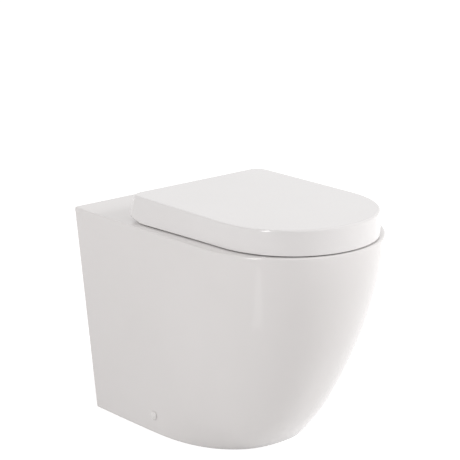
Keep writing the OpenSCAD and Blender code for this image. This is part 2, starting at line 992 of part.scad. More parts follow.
// The outline of the lid's flat top, shrunk towards the middle of the lid
function lid_top_ring(share) =
    let (middle = (lid_back_from_wall + lid_front) / 2)
    [for (p = lid_outline(lid_top, lid_edge_radius))
        [
            share * p[0],
            y_at(middle + share * (p[1] - middle)),
            rim_height + lid_top + lid_crown_at(share < 0.2 ? 0 : share * p[0], lid_top)
        ]];

module lid_outside() {
    top = lid_top - lid_edge_radius;
    loft(concat(
        [for (v = [lid_gap, lid_gap + 2.5, lid_gap + 5, lid_widest, 20, 30]) lid_ring(v, 0)],
        [for (angle = edge_angles)
            lid_ring(top + lid_edge_radius * sin(angle), lid_edge_radius * (1 - cos(angle)))],
        [for (share = [0.85, 0.65, 0.4, 0.1]) lid_top_ring(share)]
    ));
}

module lid_inside() {
    loft(concat(
        [ring_at(lid_outline(lid_gap, lid_wall), rim_height + lid_gap - cut)],
        [for (v = [lid_gap + 2.5, lid_gap + 5, lid_widest, 20, 30])
            ring_at(lid_outline(v, lid_wall), rim_height + v)],
        [ring_at(lid_outline(lid_ceiling, lid_wall), rim_height + lid_ceiling)]
    ));
}

// Where one side of an ear is, counted from the middle of its hinge block
ear_near = block_width / 2 + side_gap;
ear_far = ear_near + ear_width;

module lid_ear(side) {
    low = side == LEFT ? -ear_far : ear_near;
    high = side == LEFT ? -ear_near : ear_far;
    at_hinge(side) {
        x_cylinder(ear_radius, low, high);
        box([low, -ear_radius, 0], [high, ear_radius, lid_ceiling - hinge_height + cut]);
    }
}

module lid() {
    notch_inner = hinge_spacing / 2 - ear_far - 1.5;
    notch_outer = hinge_spacing / 2 + ear_near;
    color(white)
        difference() {
            union() {
                difference() {
                    lid_outside();
                    lid_inside();
                    for (side = SIDES)
                        mirror([side == LEFT ? 1 : 0, 0, 0])
                            box(
                                [notch_inner, y_at(hinge_from_wall + 14), rim_height],
                                [notch_outer, y_at(lid_back_from_wall - 5), rim_height + lid_ceiling]
                            );
                }
                for (side = SIDES)
                    lid_ear(side);
            }
            bush_hole(LEFT);
            shaft_hole(RIGHT);
        }
}

// ---------- seat ring ----------

seat_outer_gap = lid_wall + seat_side_gap;
seat_back = hinge_from_wall + hinge_height + 0.8;
seat_half = lid_width / 2 - lid_draft - seat_outer_gap;
seat_back_half = lid_back_width / 2 - lid_draft - lid_back_draft - seat_outer_gap;
seat_front = lid_front - lid_draft - seat_outer_gap;
seat_hole_front = seat_front - seat_front_width;
seat_hole_half = seat_hole_width / 2;
seat_mid_half = (seat_half + seat_hole_half) / 2;
hole_centre = (seat_hole_back + seat_hole_front) / 2;
hole_reach = (seat_hole_front - seat_hole_back) / 2;

seat_corner = 16;
seat_back_steps = 12;

// The ring's outline, with points along its straight back that let the opening curve behind
seat_outline = concat(
    d_outline(seat_half, seat_back_half, seat_back, lid_curve_start, seat_front, lid_squareness, seat_corner),
    [for (i = [1:seat_back_steps - 1])
        [(seat_back_half - seat_corner) * (2 * i / seat_back_steps - 1), seat_back]]
);

// The point of the opening's edge that faces a point of the ring's outline
function hole_point(p) =
    let (
        dx = p[0],
        dy = p[1] - hole_centre,
        far = norm([dx, dy]),
        c = abs(dx) / far / seat_hole_half,
        s = abs(dy) / far / hole_reach,
        reach = pow(pow(c, 2.15) + pow(s, 2.15), -1 / 2.15)
    )
    [dx / far * reach, hole_centre + dy / far * reach];

crown_inset = 18;       // how far the ring's flat crown is from both of its edges

// The ring's cross-section as [how far along from the outline to the opening, height], with a hollow below.
// Lengths below zero are measured back from the opening's edge.
seat_section = [
    [0, 0], [0, 12], [1.2, 16], [4, 19], [9, 21], [crown_inset, 22],
    [-crown_inset, 21], [-9, 17.5], [-4, 13], [-1.2, 8],
    [0.001 - 0.002, 0], [-seat_shell, 0], [-seat_shell - 4, 11], [seat_shell + 4, 15], [seat_shell, 0]
];

function section_point(outer, inner, place) =
    let (
        width = norm(inner - outer),
        along = place[0] < 0 ? width + place[0] : place[0],
        p = outer + (inner - outer) * along / width
    )
    [p[0], y_at(p[1]), rim_height + seat_gap + place[1] * seat_height / 22];

// A closed ring whose cross-section follows its two edges
module closed_ring(stations) {
    count = len(stations);
    size = len(stations[0]);
    polyhedron(
        points = [for (station = stations) each station],
        faces = concat(
            [for (i = [0:count - 1], k = [0:size - 1])
                let (next = (i + 1) % count, up = (k + 1) % size)
                [i * size + k, next * size + k, next * size + up]],
            [for (i = [0:count - 1], k = [0:size - 1])
                let (next = (i + 1) % count, up = (k + 1) % size)
                [i * size + k, next * size + up, i * size + up]]
        )
    );
}

seat_bumper_inset = 9;  // from the ring's widest sides to the rear bumpers
seat_bumper_behind = 34;    // from the ring's front to the front bumpers
seat_bumper_places = [for (side = SIDES)
    each [
        [side * (seat_half - seat_bumper_inset), (seat_hole_back + hole_centre) / 2],
        [side * seat_half / 2, seat_front - seat_bumper_behind]
    ]
];

module seat_ear(side) {
    low = side == LEFT ? ear_near : -ear_far;
    high = side == LEFT ? ear_far : -ear_near;
    at_hinge(side) {
        x_cylinder(ear_radius, low, high);
        box([low, -hinge_height - 9, -ear_radius], [high, 0, 1]);
    }
}

module seat_ring() {
    color(white)
        difference() {
            union() {
                closed_ring([for (p = seat_outline)
                    let (inner = hole_point(p))
                    [for (place = seat_section) section_point(p, inner, place)]]);
                for (side = SIDES)
                    seat_ear(side);
                for (place = seat_bumper_places)
                    translate([place[0], y_at(place[1]), rim_height + seat_gap])
                        cylinder(d = seat_bumper_diameter + 2, h = seat_height - 6);
            }
            bush_hole(RIGHT);
            shaft_hole(LEFT);
        }
}

module seat_bumpers() {
    color(off_white)
        for (place = seat_bumper_places)
            translate([place[0], y_at(place[1]), rim_height + seat_clearance])
                cylinder(d = seat_bumper_diameter, h = seat_gap - seat_clearance);
}

seat_crown = seat_gap + seat_height;

// The four places where the lid rests on the seat ring, as [x, distance from the wall]
lid_bumper_radius = 0.4 * seat_bumper_diameter;
lid_bumper_places = [for (side = SIDES)
    each [
        [side * seat_mid_half, (seat_hole_back + lid_curve_start) / 2],
        [side * 0.4 * seat_half, seat_hole_front + crown_inset]
    ]
];

module lid_bumpers() {
    color(off_white)
        for (place = lid_bumper_places)
            translate([place[0], y_at(place[1]), rim_height + seat_crown + seat_clearance])
                cylinder(r = lid_bumper_radius, h = lid_ceiling - seat_crown - seat_clearance);
}

pan();
flush_seal();
floor_bracket_left();
floor_bracket_right();
side_bushes();
side_screws();
screw_cap_left();
screw_cap_right();
fixing_bolt_left();
fixing_bolt_right();
base_gaskets();
base_disc_left();
base_disc_right();
cone_washers();
wing_nuts();
hinge_block_left();
hinge_block_right();
damper_left();
damper_right();
damper_shaft_left();
damper_shaft_right();
lid_hinge_pin();
seat_hinge_pin();
lid_hinge_bush();
seat_hinge_bush();
release_button_left();
release_button_right();
release_spring_left();
release_spring_right();
seat_ring();
seat_bumpers();
lid();
lid_bumpers();
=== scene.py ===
"""The looks of a back to wall toilet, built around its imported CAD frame.

Metres, in the frame of the CAD: X right, the front faces -Y, Z up, the wall at +Y. The shapes repeat the
formulas of part.scad in millimetres with finer steps, and are scaled to metres as each mesh is made.
"""
import math

import bmesh
import bpy
import numpy as np
from mathutils import Matrix, Vector


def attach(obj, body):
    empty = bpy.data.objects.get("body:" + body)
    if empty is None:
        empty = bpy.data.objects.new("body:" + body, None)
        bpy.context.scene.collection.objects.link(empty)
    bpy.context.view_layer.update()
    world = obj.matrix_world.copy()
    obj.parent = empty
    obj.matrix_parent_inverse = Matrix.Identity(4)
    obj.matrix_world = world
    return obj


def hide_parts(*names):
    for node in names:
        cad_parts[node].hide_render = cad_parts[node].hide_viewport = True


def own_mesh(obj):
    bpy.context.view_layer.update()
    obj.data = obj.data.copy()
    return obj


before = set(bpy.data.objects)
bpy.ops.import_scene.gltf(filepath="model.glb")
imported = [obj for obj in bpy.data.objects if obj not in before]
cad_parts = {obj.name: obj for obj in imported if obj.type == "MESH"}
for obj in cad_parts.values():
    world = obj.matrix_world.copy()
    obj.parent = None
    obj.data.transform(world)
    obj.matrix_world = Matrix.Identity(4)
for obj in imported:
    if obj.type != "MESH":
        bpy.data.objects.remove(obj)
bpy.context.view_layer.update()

# ---------------------------------------------------------------- sizes, millimetres
# Places along the depth are distances from the wall. Heights in the lid, the seat and the hinges count from the rim.

LEFT, RIGHT = SIDES = (-1, 1)

RIM_WIDTH, WALL_WIDTH, PAN_DEPTH, RIM_HEIGHT = 368.0, 358.0, 552.0, 400.0
RIM_CURVE_START, RIM_SQUARENESS = 360.0, 2.0
FOOT_WIDTH, FOOT_DEPTH, FOOT_CURVE_START, FOOT_SQUARENESS = 280.0, 367.0, 186.0, 2.33
SWEEP_POWER, TOE_TUCK, TOE_HEIGHT = 1.69, 14.0, 90.0
CERAMIC_WALL, DECK_THICKNESS, RIM_EDGE, WALL_EDGE = 12.0, 14.0, 3.0, 2.5
CAVITY_TOP, FOOT_EDGE, FOOT_EDGE_TOP = RIM_HEIGHT - DECK_THICKNESS, [(0, 1.4), (0.4, 0.4)], 1.4
SIDE_LEAN = math.atan((RIM_WIDTH - FOOT_WIDTH) / 2 / RIM_HEIGHT)

BOWL_WIDTH, BOWL_FRONT, BOWL_BACK, BOWL_EDGE = 256.0, 510.0, 212.0, 5.0
BOWL_SQUARENESS, BOWL_SWELL = 2.2, 0.6
SUMP_HEIGHT, SUMP_WIDTH, SUMP_BACK, SUMP_FRONT = 45.0, 84.0, 290.0, 345.0

TRAP_BORE, TRAP_WALL = 72.0, 8.0
TRAP_START, TRAP_CREST, TRAP_END = (300.0, 68.0), (178.0, 217.0), (98.0, 185.0)
OUTLET_RADIUS, OUTLET_BORE, OUTLET_FROM_WALL, OUTLET_LENGTH = 51.0, TRAP_BORE / 2 + 3, 50.0, 50.0
INLET_HEIGHT, INLET_SOCKET, INLET_DEPTH, INLET_FROM_WALL, INLET_WALL = 335.0, 30.0, 35.0, 30.0, 8.0
INLET_END, PASSAGE_END, PASSAGE_RADIUS, FLUSH_PIPE = SUMP_BACK - 45, BOWL_BACK + 60, INLET_SOCKET - 6, 22.2
WEB_HALF, WEB_FROM_WALL, WEB_BOTTOM = 8, INLET_FROM_WALL + 12, INLET_HEIGHT + INLET_SOCKET + 4

SIDE_FIX_FROM_WALL, SIDE_FIX_HEIGHT, SIDE_HOLE, SIDE_SCREW_HOLE = 184.0, 36.0, 5.5, 2.45
FLOOR_HOLE_X, FLOOR_HOLE, BRACKET_HALF, BRACKET_FOOT = 92.0, 4.0, 20.0, 6.0
LEG_OUTSIDE, LEG_INSIDE, LEG_ABOVE_SCREW = 13.0, 27.0, 18.0
RIB_FROM_MIDDLE, RIB_HALF = 15.5, 1.75

LID_WIDTH, LID_BACK_WIDTH, LID_BACK, LID_FRONT = 317.0, 333.0, 131.0, 548.0
LID_CURVE_START, LID_SQUARENESS, LID_SIDE_EASE = 385.0, 2.04, 1.25
LID_GAP, LID_TOP, LID_CROWN, LID_DRAFT, LID_BACK_DRAFT, LID_BACK_LEAN = 2.0, 46.0, 1.6, 1.0, 10.3, 3.0
LID_CORNER, LID_LOW_CORNER, LID_EDGE, LID_WALL, LID_WIDEST, LID_SWEEP = 22.0, 43.0, 3.5, 4.5, 12.0, 23.4
LID_LIP, LID_CEILING, LID_CEILING_CURVE = 0.8, LID_TOP - LID_WALL, 3.0
LID_BUMPERS = (-124, 308.5), (124, 308.5), (-60, 495.5), (60, 495.5)

SEAT_GAP, SEAT_HALF, SEAT_BACK_HALF, SEAT_BACK, SEAT_FRONT, SEAT_CORNER = 6.0, 150.0, 147.7, 176.3, 539.5, 16.0
SEAT_HOLE_WIDTH, SEAT_HOLE_BACK, SEAT_FRONT_WIDTH, SEAT_HOLE_SQUARENESS = 196.0, 232.0, 62.0, 2.15
SEAT_HOLE_CENTRE = (SEAT_HOLE_BACK + SEAT_FRONT - SEAT_FRONT_WIDTH) / 2
SEAT_HOLE_REACH = (SEAT_FRONT - SEAT_FRONT_WIDTH - SEAT_HOLE_BACK) / 2
SEAT_BUMPERS = (-141, 293.375), (141, 293.375), (-75, 505.5), (75, 505.5)

HINGE_X, HINGE_FROM_WALL, HINGE_HEIGHT = 77.5, 150.5, 25.0
BLOCK_WIDTH, BLOCK_RADIUS, BLOCK_BASE = 34.0, 11.5, 4.3
EAR_GAP, EAR_WIDTH, EAR_RADIUS, EAR_BEVEL = 0.8, 14.2, 9.5, 0.7
EAR_NEAR = BLOCK_WIDTH / 2 + EAR_GAP
EAR_FAR = EAR_NEAR + EAR_WIDTH
DISC_RADIUS, POST_RADIUS, BOLT_RADIUS, WASHER_HOLE, DECK_HOLE = 16.5, 5.0, 4.0, 4.05, 7.5
DAMPER_RADIUS, SHAFT_RADIUS, SHAFT_FLAT, PIN_RADIUS, PIN_END = 8.0, 4.5, 3.0, 4.0, 31.0
BUTTON_RADIUS, BUTTON_HEIGHT = 4.5, 10.5
SPRING_START, SPRING_LENGTH, SPRING_RADIUS, SPRING_WIRE, SPRING_TURNS = 6.5, 4.5, 3.02, 0.42, 4.0

# ---------------------------------------------------------------- view and light, metres, watts and degrees

CAMERA_PLACE, CAMERA_DOWN, CAMERA_TURN = (-2.3425, -2.6513, 1.3600), 15.471, -40.97
CAMERA_LENS, CAMERA_SENSOR = 159.9, 36.0
AMBIENT, AMBIENT_COLOUR, WHITE = 0.60, (1, 0.965, 0.958, 1), (1, 1, 1, 1)
FLOOR_GLOW, FLOOR_COLOUR, FLOOR_HALF = 0.60, (0.78, 0.78, 0.78, 1), 30
OBJECT_MIDDLE = (0, 0, 0.25)

# ---------------------------------------------------------------- places

ALONG_X = Matrix.Rotation(math.pi / 2, 4, "Y")      # +Z becomes +X
AGAINST_X = Matrix.Rotation(-math.pi / 2, 4, "Y")   # +Z becomes -X
TO_WALL = Matrix.Rotation(-math.pi / 2, 4, "X")     # +Z becomes +Y
TO_FRONT = Matrix.Rotation(math.pi / 2, 4, "X")     # +Z becomes -Y
ACROSS = Matrix.Rotation(-math.pi / 2, 4, "Z")      # an outline of (y, z) becomes one of (x, z)
MIRROR = Matrix.Scale(-1, 4, (1, 0, 0))
AXES = {"X": ALONG_X, "Y": TO_WALL, "Z": Matrix.Identity(4)}


def y_at(from_wall):
    return PAN_DEPTH / 2 - from_wall


def at(x, from_wall, z):
    return Matrix.Translation((x, y_at(from_wall), z))


def at_deck(side):
    return at(side * HINGE_X, HINGE_FROM_WALL, RIM_HEIGHT)


def at_hinge(side):
    return at(side * HINGE_X, HINGE_FROM_WALL, RIM_HEIGHT + HINGE_HEIGHT)


def side_name(side):
    return "left" if side == LEFT else "right"


# ---------------------------------------------------------------- mesh helpers


def change_mesh(mesh, change):
    """Applies a change to a mesh while it is held as a bmesh."""
    bm = bmesh.new()
    bm.from_mesh(mesh)
    change(bm)
    bm.to_mesh(mesh)
    bm.free()
    mesh.update()


def new_object(name, verts, faces, material):
    """A mesh object from millimetre points, with its faces turned outwards."""
    mesh = bpy.data.meshes.new(name)
    mesh.from_pydata((np.asarray(verts, float) / 1000).tolist(), [], [list(map(int, f)) for f in faces])
    mesh.materials.append(material)
    obj = bpy.data.objects.new(name, mesh)
    bpy.context.scene.collection.objects.link(obj)
    change_mesh(mesh, lambda bm: bmesh.ops.recalc_face_normals(bm, faces=bm.faces))
    return obj


def loft(name, rings, material):
    """A closed solid through rings that all have the same number of points."""
    count, top = len(rings[0]), len(rings) - 1
    faces = [tuple(range(count))[::-1], tuple(top * count + i for i in range(count))]
    for k in range(top):
        for i in range(count):
            j = (i + 1) % count
            faces.append((k * count + i, k * count + j, (k + 1) * count + j, (k + 1) * count + i))
    return new_object(name, np.concatenate(rings), faces, material)


def loop_loft(name, stations, material):
    """A closed ring through stations, each a closed section with the same number of points."""
    count, size = len(stations), len(stations[0])
    faces = []
    for i in range(count):
        for k in range(size):
            n, up = (i + 1) % count, (k + 1) % size
            faces.append((i * size + k, n * size + k, n * size + up, i * size + up))
    return new_object(name, np.concatenate(stations), faces, material)


def arc_points(radius, start, end, count):
    return [(radius * math.cos(t), radius * math.sin(t)) for t in np.linspace(start, end, count)]


def fillet(radius, degrees):
    """Steps round a quarter circle, each as (distance in from the side, distance down from the top)."""
    return [(radius * (1 - math.cos(a)), radius * (1 - math.sin(a))) for a in np.radians(degrees)]


def rounded(points, radius, steps, closed=True):
    """A polyline with each corner turned into a small curve. A radius can be given for each point."""
    points = [np.asarray(p, float) for p in points]
    count = len(points)
    radii = radius if hasattr(radius, "__len__") else [radius] * count
    out = []
    for i, p in enumerate(points):
        if (not closed and i in (0, count - 1)) or radii[i] <= 0:
            out.append(p)
            continue
        a, b = points[i - 1], points[(i + 1) % count]
        la, lb = np.linalg.norm(a - p), np.linalg.norm(b - p)
        cut = min(radii[i], la * 0.49, lb * 0.49)
        start, end = p + (a - p) / la * cut, p + (b - p) / lb * cut
        for s in np.linspace(0, 1, steps + 1):
            out.append(start * (1 - s) ** 2 + p * 2 * s * (1 - s) + end * s**2)
    return out


def lathe(name, profile, material, steps=64, closed=False):
    """Turns a profile of (radius, height) round Z. An open profile starts and ends on the axis."""
    verts, index = [], []
    angles = np.linspace(0, 2 * math.pi, steps, endpoint=False)
    for r, z in profile:
        if r < 1e-6:
            index.append([len(verts)] * steps)
            verts.append((0, 0, z))
        else:
            index.append(list(range(len(verts), len(verts) + steps)))
            verts += [(r * math.cos(a), r * math.sin(a), z) for a in angles]
    faces = []
    for a, b in zip(index, index[1:] + ([index[0]] if closed else [])):
        for i in range(steps):
            j = (i + 1) % steps
            face = list(dict.fromkeys([a[i], a[j], b[j], b[i]]))
            if len(face) > 2:
                faces.append(face)
    return new_object(name, verts, faces, material)


def turned(name, points, radii, material, steps=64, curve=4, closed=False):
    """A lathed solid whose profile has rounded corners."""
    return lathe(name, rounded(points, radii, curve, closed), material, steps, closed)


def tube_path(name, path, radius, material, sides):
    """A round rod along a path of 3-D points."""
    path = np.asarray(path, float)
    tangents = np.gradient(path, axis=0)
    tangents /= np.linalg.norm(tangents, axis=1)[:, None]
    normal = np.cross(tangents[0], [0.0, 0.0, 1.0])
    angles = np.linspace(0, 2 * math.pi, sides, endpoint=False)[:, None]
    rings = []
    for p, t in zip(path, tangents):
        normal = normal - t * np.dot(normal, t)
        normal /= np.linalg.norm(normal)
        rings.append(p + radius * (np.cos(angles) * normal + np.sin(angles) * np.cross(t, normal)))
    return loft(name, rings, material)


def bevelled_box(name, low, high, bevel, material, segments=3):
    verts = [(x, y, z) for z in (low[2], high[2]) for y in (low[1], high[1]) for x in (low[0], high[0])]
    faces = [(0, 2, 3, 1), (4, 5, 7, 6), (0, 1, 5, 4), (2, 6, 7, 3), (0, 4, 6, 2), (1, 3, 7, 5)]
    obj = new_object(name, verts, faces, material)
    change_mesh(obj.data, lambda bm: bmesh.ops.bevel(
        bm, geom=bm.edges[:], offset=bevel / 1000, segments=segments, profile=0.5, affect="EDGES", clamp_overlap=True
    ))
    return obj


def extruded(name, outline, x_low, x_high, bevel, material):
    """An outline of (y, z) points drawn out along X, with its end edges rounded."""
    p = np.asarray(outline, float)
    along = np.roll(p, -1, 0) - np.roll(p, 1, 0)
    along /= np.linalg.norm(along, axis=1)[:, None]
    out = np.column_stack([along[:, 1], -along[:, 0]])
    if np.sum(p[:, 0] * np.roll(p[:, 1], -1) - np.roll(p[:, 0], -1) * p[:, 1]) < 0:
        out = -out
    low = [(x_low + x, inset) for x, inset in fillet(bevel, np.linspace(0, 90, 5))]
    high = [(x_low + x_high - x, inset) for x, inset in low[::-1]]
    made = [np.column_stack([np.full(len(p), x), p - out * inset]) for x, inset in low + high]
    return loft(name, made, material)


def move(obj, matrix):
    """Moves the mesh itself, so that the object stays at the origin. The matrix is in millimetres."""
    m = matrix.copy()
    m.translation = m.translation / 1000
    obj.data.transform(m)
    if matrix.determinant() < 0:
        obj.data.flip_normals()
    obj.data.update()
    return obj


def combine(target, operation, *tools):
    """Unites with or cuts by each tool, which is then removed. The tool's material comes along."""
    for tool in tools:
        modifier = target.modifiers.new("combine", "BOOLEAN")
        modifier.operation = operation
        modifier.solver = "EXACT"
        modifier.object = tool
        modifier.material_mode = "TRANSFER"
        bpy.context.view_layer.update()
        graph = bpy.context.evaluated_depsgraph_get()
        made = bpy.data.meshes.new_from_object(target.evaluated_get(graph))
        target.modifiers.clear()
        old, target.data = target.data, made
        bpy.data.meshes.remove(old)
        bpy.data.objects.remove(tool)
    return target


def join(name, *objs):
    """One object that holds the meshes of several, which are then removed."""
    bm = bmesh.new()
    materials = []
    for obj in objs:
        start = len(bm.faces)
        bm.from_mesh(obj.data)
        bm.faces.ensure_lookup_table()
        remap = []
        for m in obj.data.materials:
            if m not in materials:
                materials.append(m)
            remap.append(materials.index(m))
        for face in bm.faces[start:]:
            face.material_index = remap[face.material_index]
    mesh = bpy.data.meshes.new(name)
    bm.to_mesh(mesh)
    bm.free()
    for m in materials:
        mesh.materials.append(m)
    for obj in objs:
        bpy.data.objects.remove(obj)
    made = bpy.data.objects.new(name, mesh)
    bpy.context.scene.collection.objects.link(made)
    return made


def piece(obj, body, slot, *nodes, angle=35):
    """A finished piece: smooth shading, the body it rides on, and the CAD nodes it stands for, which are hidden. The
    slot is not used.
    """
    obj.data.shade_smooth()
    obj.data.set_sharp_from_angle(angle=math.radians(angle))
    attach(obj, body)
    if nodes:
        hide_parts(*nodes)
    return obj


def cylinder(name, radius, low, high, axis, material, steps=64, bevel=0.0):
    """A cylinder with rounded ends along an axis through the origin, between two heights."""
    points = [(0, low), (radius, low), (radius, high), (0, high)]
    return move(turned(name, points, bevel, material, steps), AXES[axis])


def ring_solid(name, outer, inner, low, high, bevel, material):
    """A ring round Z with rounded edges."""
    points = [(inner, low), (outer, low), (outer, high), (inner, high)]
    return turned(name, points, bevel, material, closed=True)


# ---------------------------------------------------------------- materials

NOISE_LOW, NOISE_HIGH = 0.3, 0.7     # the part of a noise's range that is spread over the given values


def feed(tree, node, inputs):
    """Gives each named input of a node a value, or a link from another node's output."""
    for name, value in inputs.items():
        if isinstance(value, bpy.types.NodeSocket):
            tree.links.new(value, node.inputs[name])
        else:
            node.inputs[name].default_value = value
    return node


def new_node(tree, kind, inputs):
    return feed(tree, tree.nodes.new("ShaderNode" + kind), inputs)


def make_material(name, surface):
    """A material whose shader gets the inputs that a function of its node tree returns."""
    material = bpy.data.materials.new(name)
    material.use_nodes = True
    tree = material.node_tree
    feed(tree, tree.nodes["Principled BSDF"], surface(tree))
    return material


def noise(tree, scale, detail=2.0, roughness=0.5, stretch=None):
    place = new_node(tree, "TexCoord", {}).outputs["Object"]
    if stretch:
        place = new_node(tree, "Mapping", {"Vector": place, "Scale": stretch}).outputs["Vector"]
    inputs = {"Vector": place, "Scale": scale, "Detail": detail, "Roughness": roughness}
    return new_node(tree, "TexNoise", inputs).outputs["Fac"]


def spread(tree, value, low, high):
    """Maps a noise value onto a range."""
    inputs = {"Value": value, "From Min": NOISE_LOW, "From Max": NOISE_HIGH, "To Min": low, "To Max": high}
    return new_node(tree, "MapRange", inputs).outputs["Result"]


def blend_colours(tree, value, first, second):
    """Maps a noise value onto the colours between two."""
    node = new_node(tree, "ValToRGB", {"Fac": value})
    low, high = node.color_ramp.elements
    low.position, low.color = NOISE_LOW, (*first, 1)
    high.position, high.color = NOISE_HIGH, (*second, 1)
    return node.outputs["Color"]


def bumps(tree, *layers):
    """Bump layers of (value, strength, distance in metres), one on top of the other."""
    below = {}
    for value, strength, distance in layers:
        node = new_node(tree, "Bump", {"Height": value, "Strength": strength, "Distance": distance, **below})
        below = {"Normal": node.outputs["Normal"]}
    return below["Normal"]


def glaze(tree):
    """White glazed vitreous china: a clear glossy skin that waves a little over a milky body."""
    slow, fine = noise(tree, 5.0), noise(tree, 55.0, 3.0)
    return {
        "Base Color": blend_colours(tree, slow, (0.805, 0.790, 0.782), (0.823, 0.809, 0.802)),
        "Roughness": spread(tree, fine, 0.07, 0.12),
        "IOR": 1.52,
        "Coat Weight": 0.2,
        "Coat Roughness": 0.04,
        "Normal": bumps(tree, (slow, 0.10, 0.004), (fine, 0.05, 0.0006)),
    }


def bisque(tree):
    """The dry inside of the skirt: fired clay with a thin grey-white engobe."""
    cloud, grain = noise(tree, 9.0, 4.0), noise(tree, 900.0, 2.0, 0.7)
    return {
        "Base Color": blend_colours(tree, cloud, (0.66, 0.645, 0.60), (0.74, 0.73, 0.70)),
        "Roughness": spread(tree, cloud, 0.55, 0.8),
        "Normal": bumps(tree, (cloud, 0.25, 0.002), (grain, 0.35, 0.0003)),
    }


def duroplast(tree):
    """The hard glossy moulding of the lid and seat."""
    slow, fine = noise(tree, 7.0), noise(tree, 260.0)
    return {
        "Base Color": blend_colours(tree, slow, (0.818, 0.809, 0.805), (0.834, 0.825, 0.822)),
        "Roughness": spread(tree, fine, 0.13, 0.19),
        "IOR": 1.5,
        "Coat Weight": 0.5,
        "Coat Roughness": 0.06,
        "Normal": bumps(tree, (slow, 0.05, 0.002), (fine, 0.06, 0.0002)),
    }


def chrome(tree):
    """Polished plating with a faint smear."""
    smear = noise(tree, 40.0, 4.0, 0.6)
    return {
        "Base Color": blend_colours(tree, smear, (0.76, 0.77, 0.79), (0.83, 0.84, 0.86)),
        "Metallic": 1.0,
        "Roughness": spread(tree, smear, 0.05, 0.14),
        "Normal": bumps(tree, (smear, 0.04, 0.0005)),
    }


def zinc(tree):
    """Zinc plate on steel: flecked, and drawn out along the part."""
    flecks, drawn = noise(tree, 220.0, 4.0, 0.7), noise(tree, 90.0, 3.0, 0.6, stretch=(1.0, 1.0, 8.0))
    return {
        "Base Color": blend_colours(tree, flecks, (0.50, 0.51, 0.53), (0.66, 0.66, 0.66)),
        "Metallic": 1.0,
        "Roughness": spread(tree, drawn, 0.26, 0.46),
        "Normal": bumps(tree, (drawn, 0.15, 0.0002), (flecks, 0.2, 0.00015)),
    }


def plain(first, second, roughness, grain_scale=420.0, grain=0.3):
    """A plastic or a rubber of one colour, with a fine grain."""
    def surface(tree):
        cloud, fine = noise(tree, 30.0, 3.0), noise(tree, grain_scale, 2.0, 0.6)
        return {
            "Base Color": blend_colours(tree, cloud, first, second),
            "Roughness": spread(tree, fine, roughness - 0.06, roughness + 0.06),
            "Normal": bumps(tree, (fine, grain, 0.00025)),
        }
    return surface


GLAZE = make_material("china_glaze", glaze)
BISQUE = make_material("china_bisque", bisque)
DUROPLAST = make_material("seat_moulding", duroplast)
CHROME = make_material("chrome_plate", chrome)
ZINC = make_material("zinc_plate", zinc)
BLACK_RUBBER = make_material("black_rubber", plain((0.022, 0.022, 0.024), (0.04, 0.04, 0.042), 0.62, 700.0, 0.45))
SOFT_RUBBER = make_material("soft_rubber", plain((0.60, 0.60, 0.585), (0.66, 0.66, 0.645), 0.5, 600.0, 0.35))
CAP_PLASTIC = make_material("cap_plastic", plain((0.86, 0.85, 0.84), (0.89, 0.88, 0.87), 0.24, 300.0, 0.12))
DAMPER_PLASTIC = make_material("damper_plastic", plain((0.10, 0.10, 0.105), (0.14, 0.14, 0.15), 0.42))
BUSH_PLASTIC = make_material("bush_plastic", plain((0.56, 0.56, 0.54), (0.63, 0.63, 0.61), 0.38))
FIXING_PLASTIC = make_material("fixing_plastic", plain((0.50, 0.50, 0.48), (0.58, 0.58, 0.56), 0.45))

# ---------------------------------------------------------------- pan


def signed_power(values, power):
    return np.sign(values) * np.abs(values) ** power


def d_outline(half, back_half, back, start, front, squareness, corner, ease=2.0, corners=8, sides=26, curve=110):
    """A D shape as (x, distance from the wall), clockwise from above, as in part.scad."""
    a = np.radians(np.linspace(-90, 0, corners + 1))
    turn = np.stack([back_half - corner + corner * np.cos(a), back + corner + corner * np.sin(a)], 1)
    s = np.arange(1, sides) / sides
    straight = np.stack(
        [half - (half - back_half) * (1 - s) ** ease, back + corner + s * (start - back - corner)], 1
    )
    side = np.concatenate([turn, straight])
    a = np.radians(np.linspace(0, 180, curve + 1))
    power = 2 / squareness
    arc = np.stack(
        [half * signed_power(np.cos(a), power), start + (front - start) * signed_power(np.sin(a), power)], 1
    )
    return np.concatenate([side, arc, side[::-1] * [-1, 1]])


def at_height(outline, z):
    return np.column_stack([outline[:, 0], y_at(outline[:, 1]), np.full(len(outline), float(z))])


def pan_shape(z):
    """At a height: its share of the rim's, the front's sweep, half the width, and where the front's curve starts."""
    rise = min(max(z / (RIM_HEIGHT - RIM_EDGE), 0), 1)
    sweep = (1 - rise) ** SWEEP_POWER
    half = FOOT_WIDTH / 2 + (RIM_WIDTH - FOOT_WIDTH) / 2 * rise
    return rise, sweep, half, RIM_CURVE_START - (RIM_CURVE_START - FOOT_CURVE_START) * sweep


def pan_ring(z, inset, back=0, at_z=None):
    rise, sweep, half, start = pan_shape(z)
    toe = TOE_TUCK * max(1 - max(z, 0) / TOE_HEIGHT, 0) ** 2
    front = PAN_DEPTH - (PAN_DEPTH - FOOT_DEPTH - TOE_TUCK) * sweep - toe
    squareness = FOOT_SQUARENESS + (RIM_SQUARENESS - FOOT_SQUARENESS) * rise
    outline = d_outline(
        half - inset, half * WALL_WIDTH / RIM_WIDTH - inset, back, start, front - inset, squareness, WALL_EDGE
    )
    return at_height(outline, z if at_z is None else at_z)


def pan_half_at(z, from_wall):
    """Half the pan's width at a height and a distance from the wall."""
    _, _, half, start = pan_shape(z)
    s = min((from_wall - WALL_EDGE) / (start - WALL_EDGE), 1)
    return half - (half - half * WALL_WIDTH / RIM_WIDTH) * (1 - s) ** 2


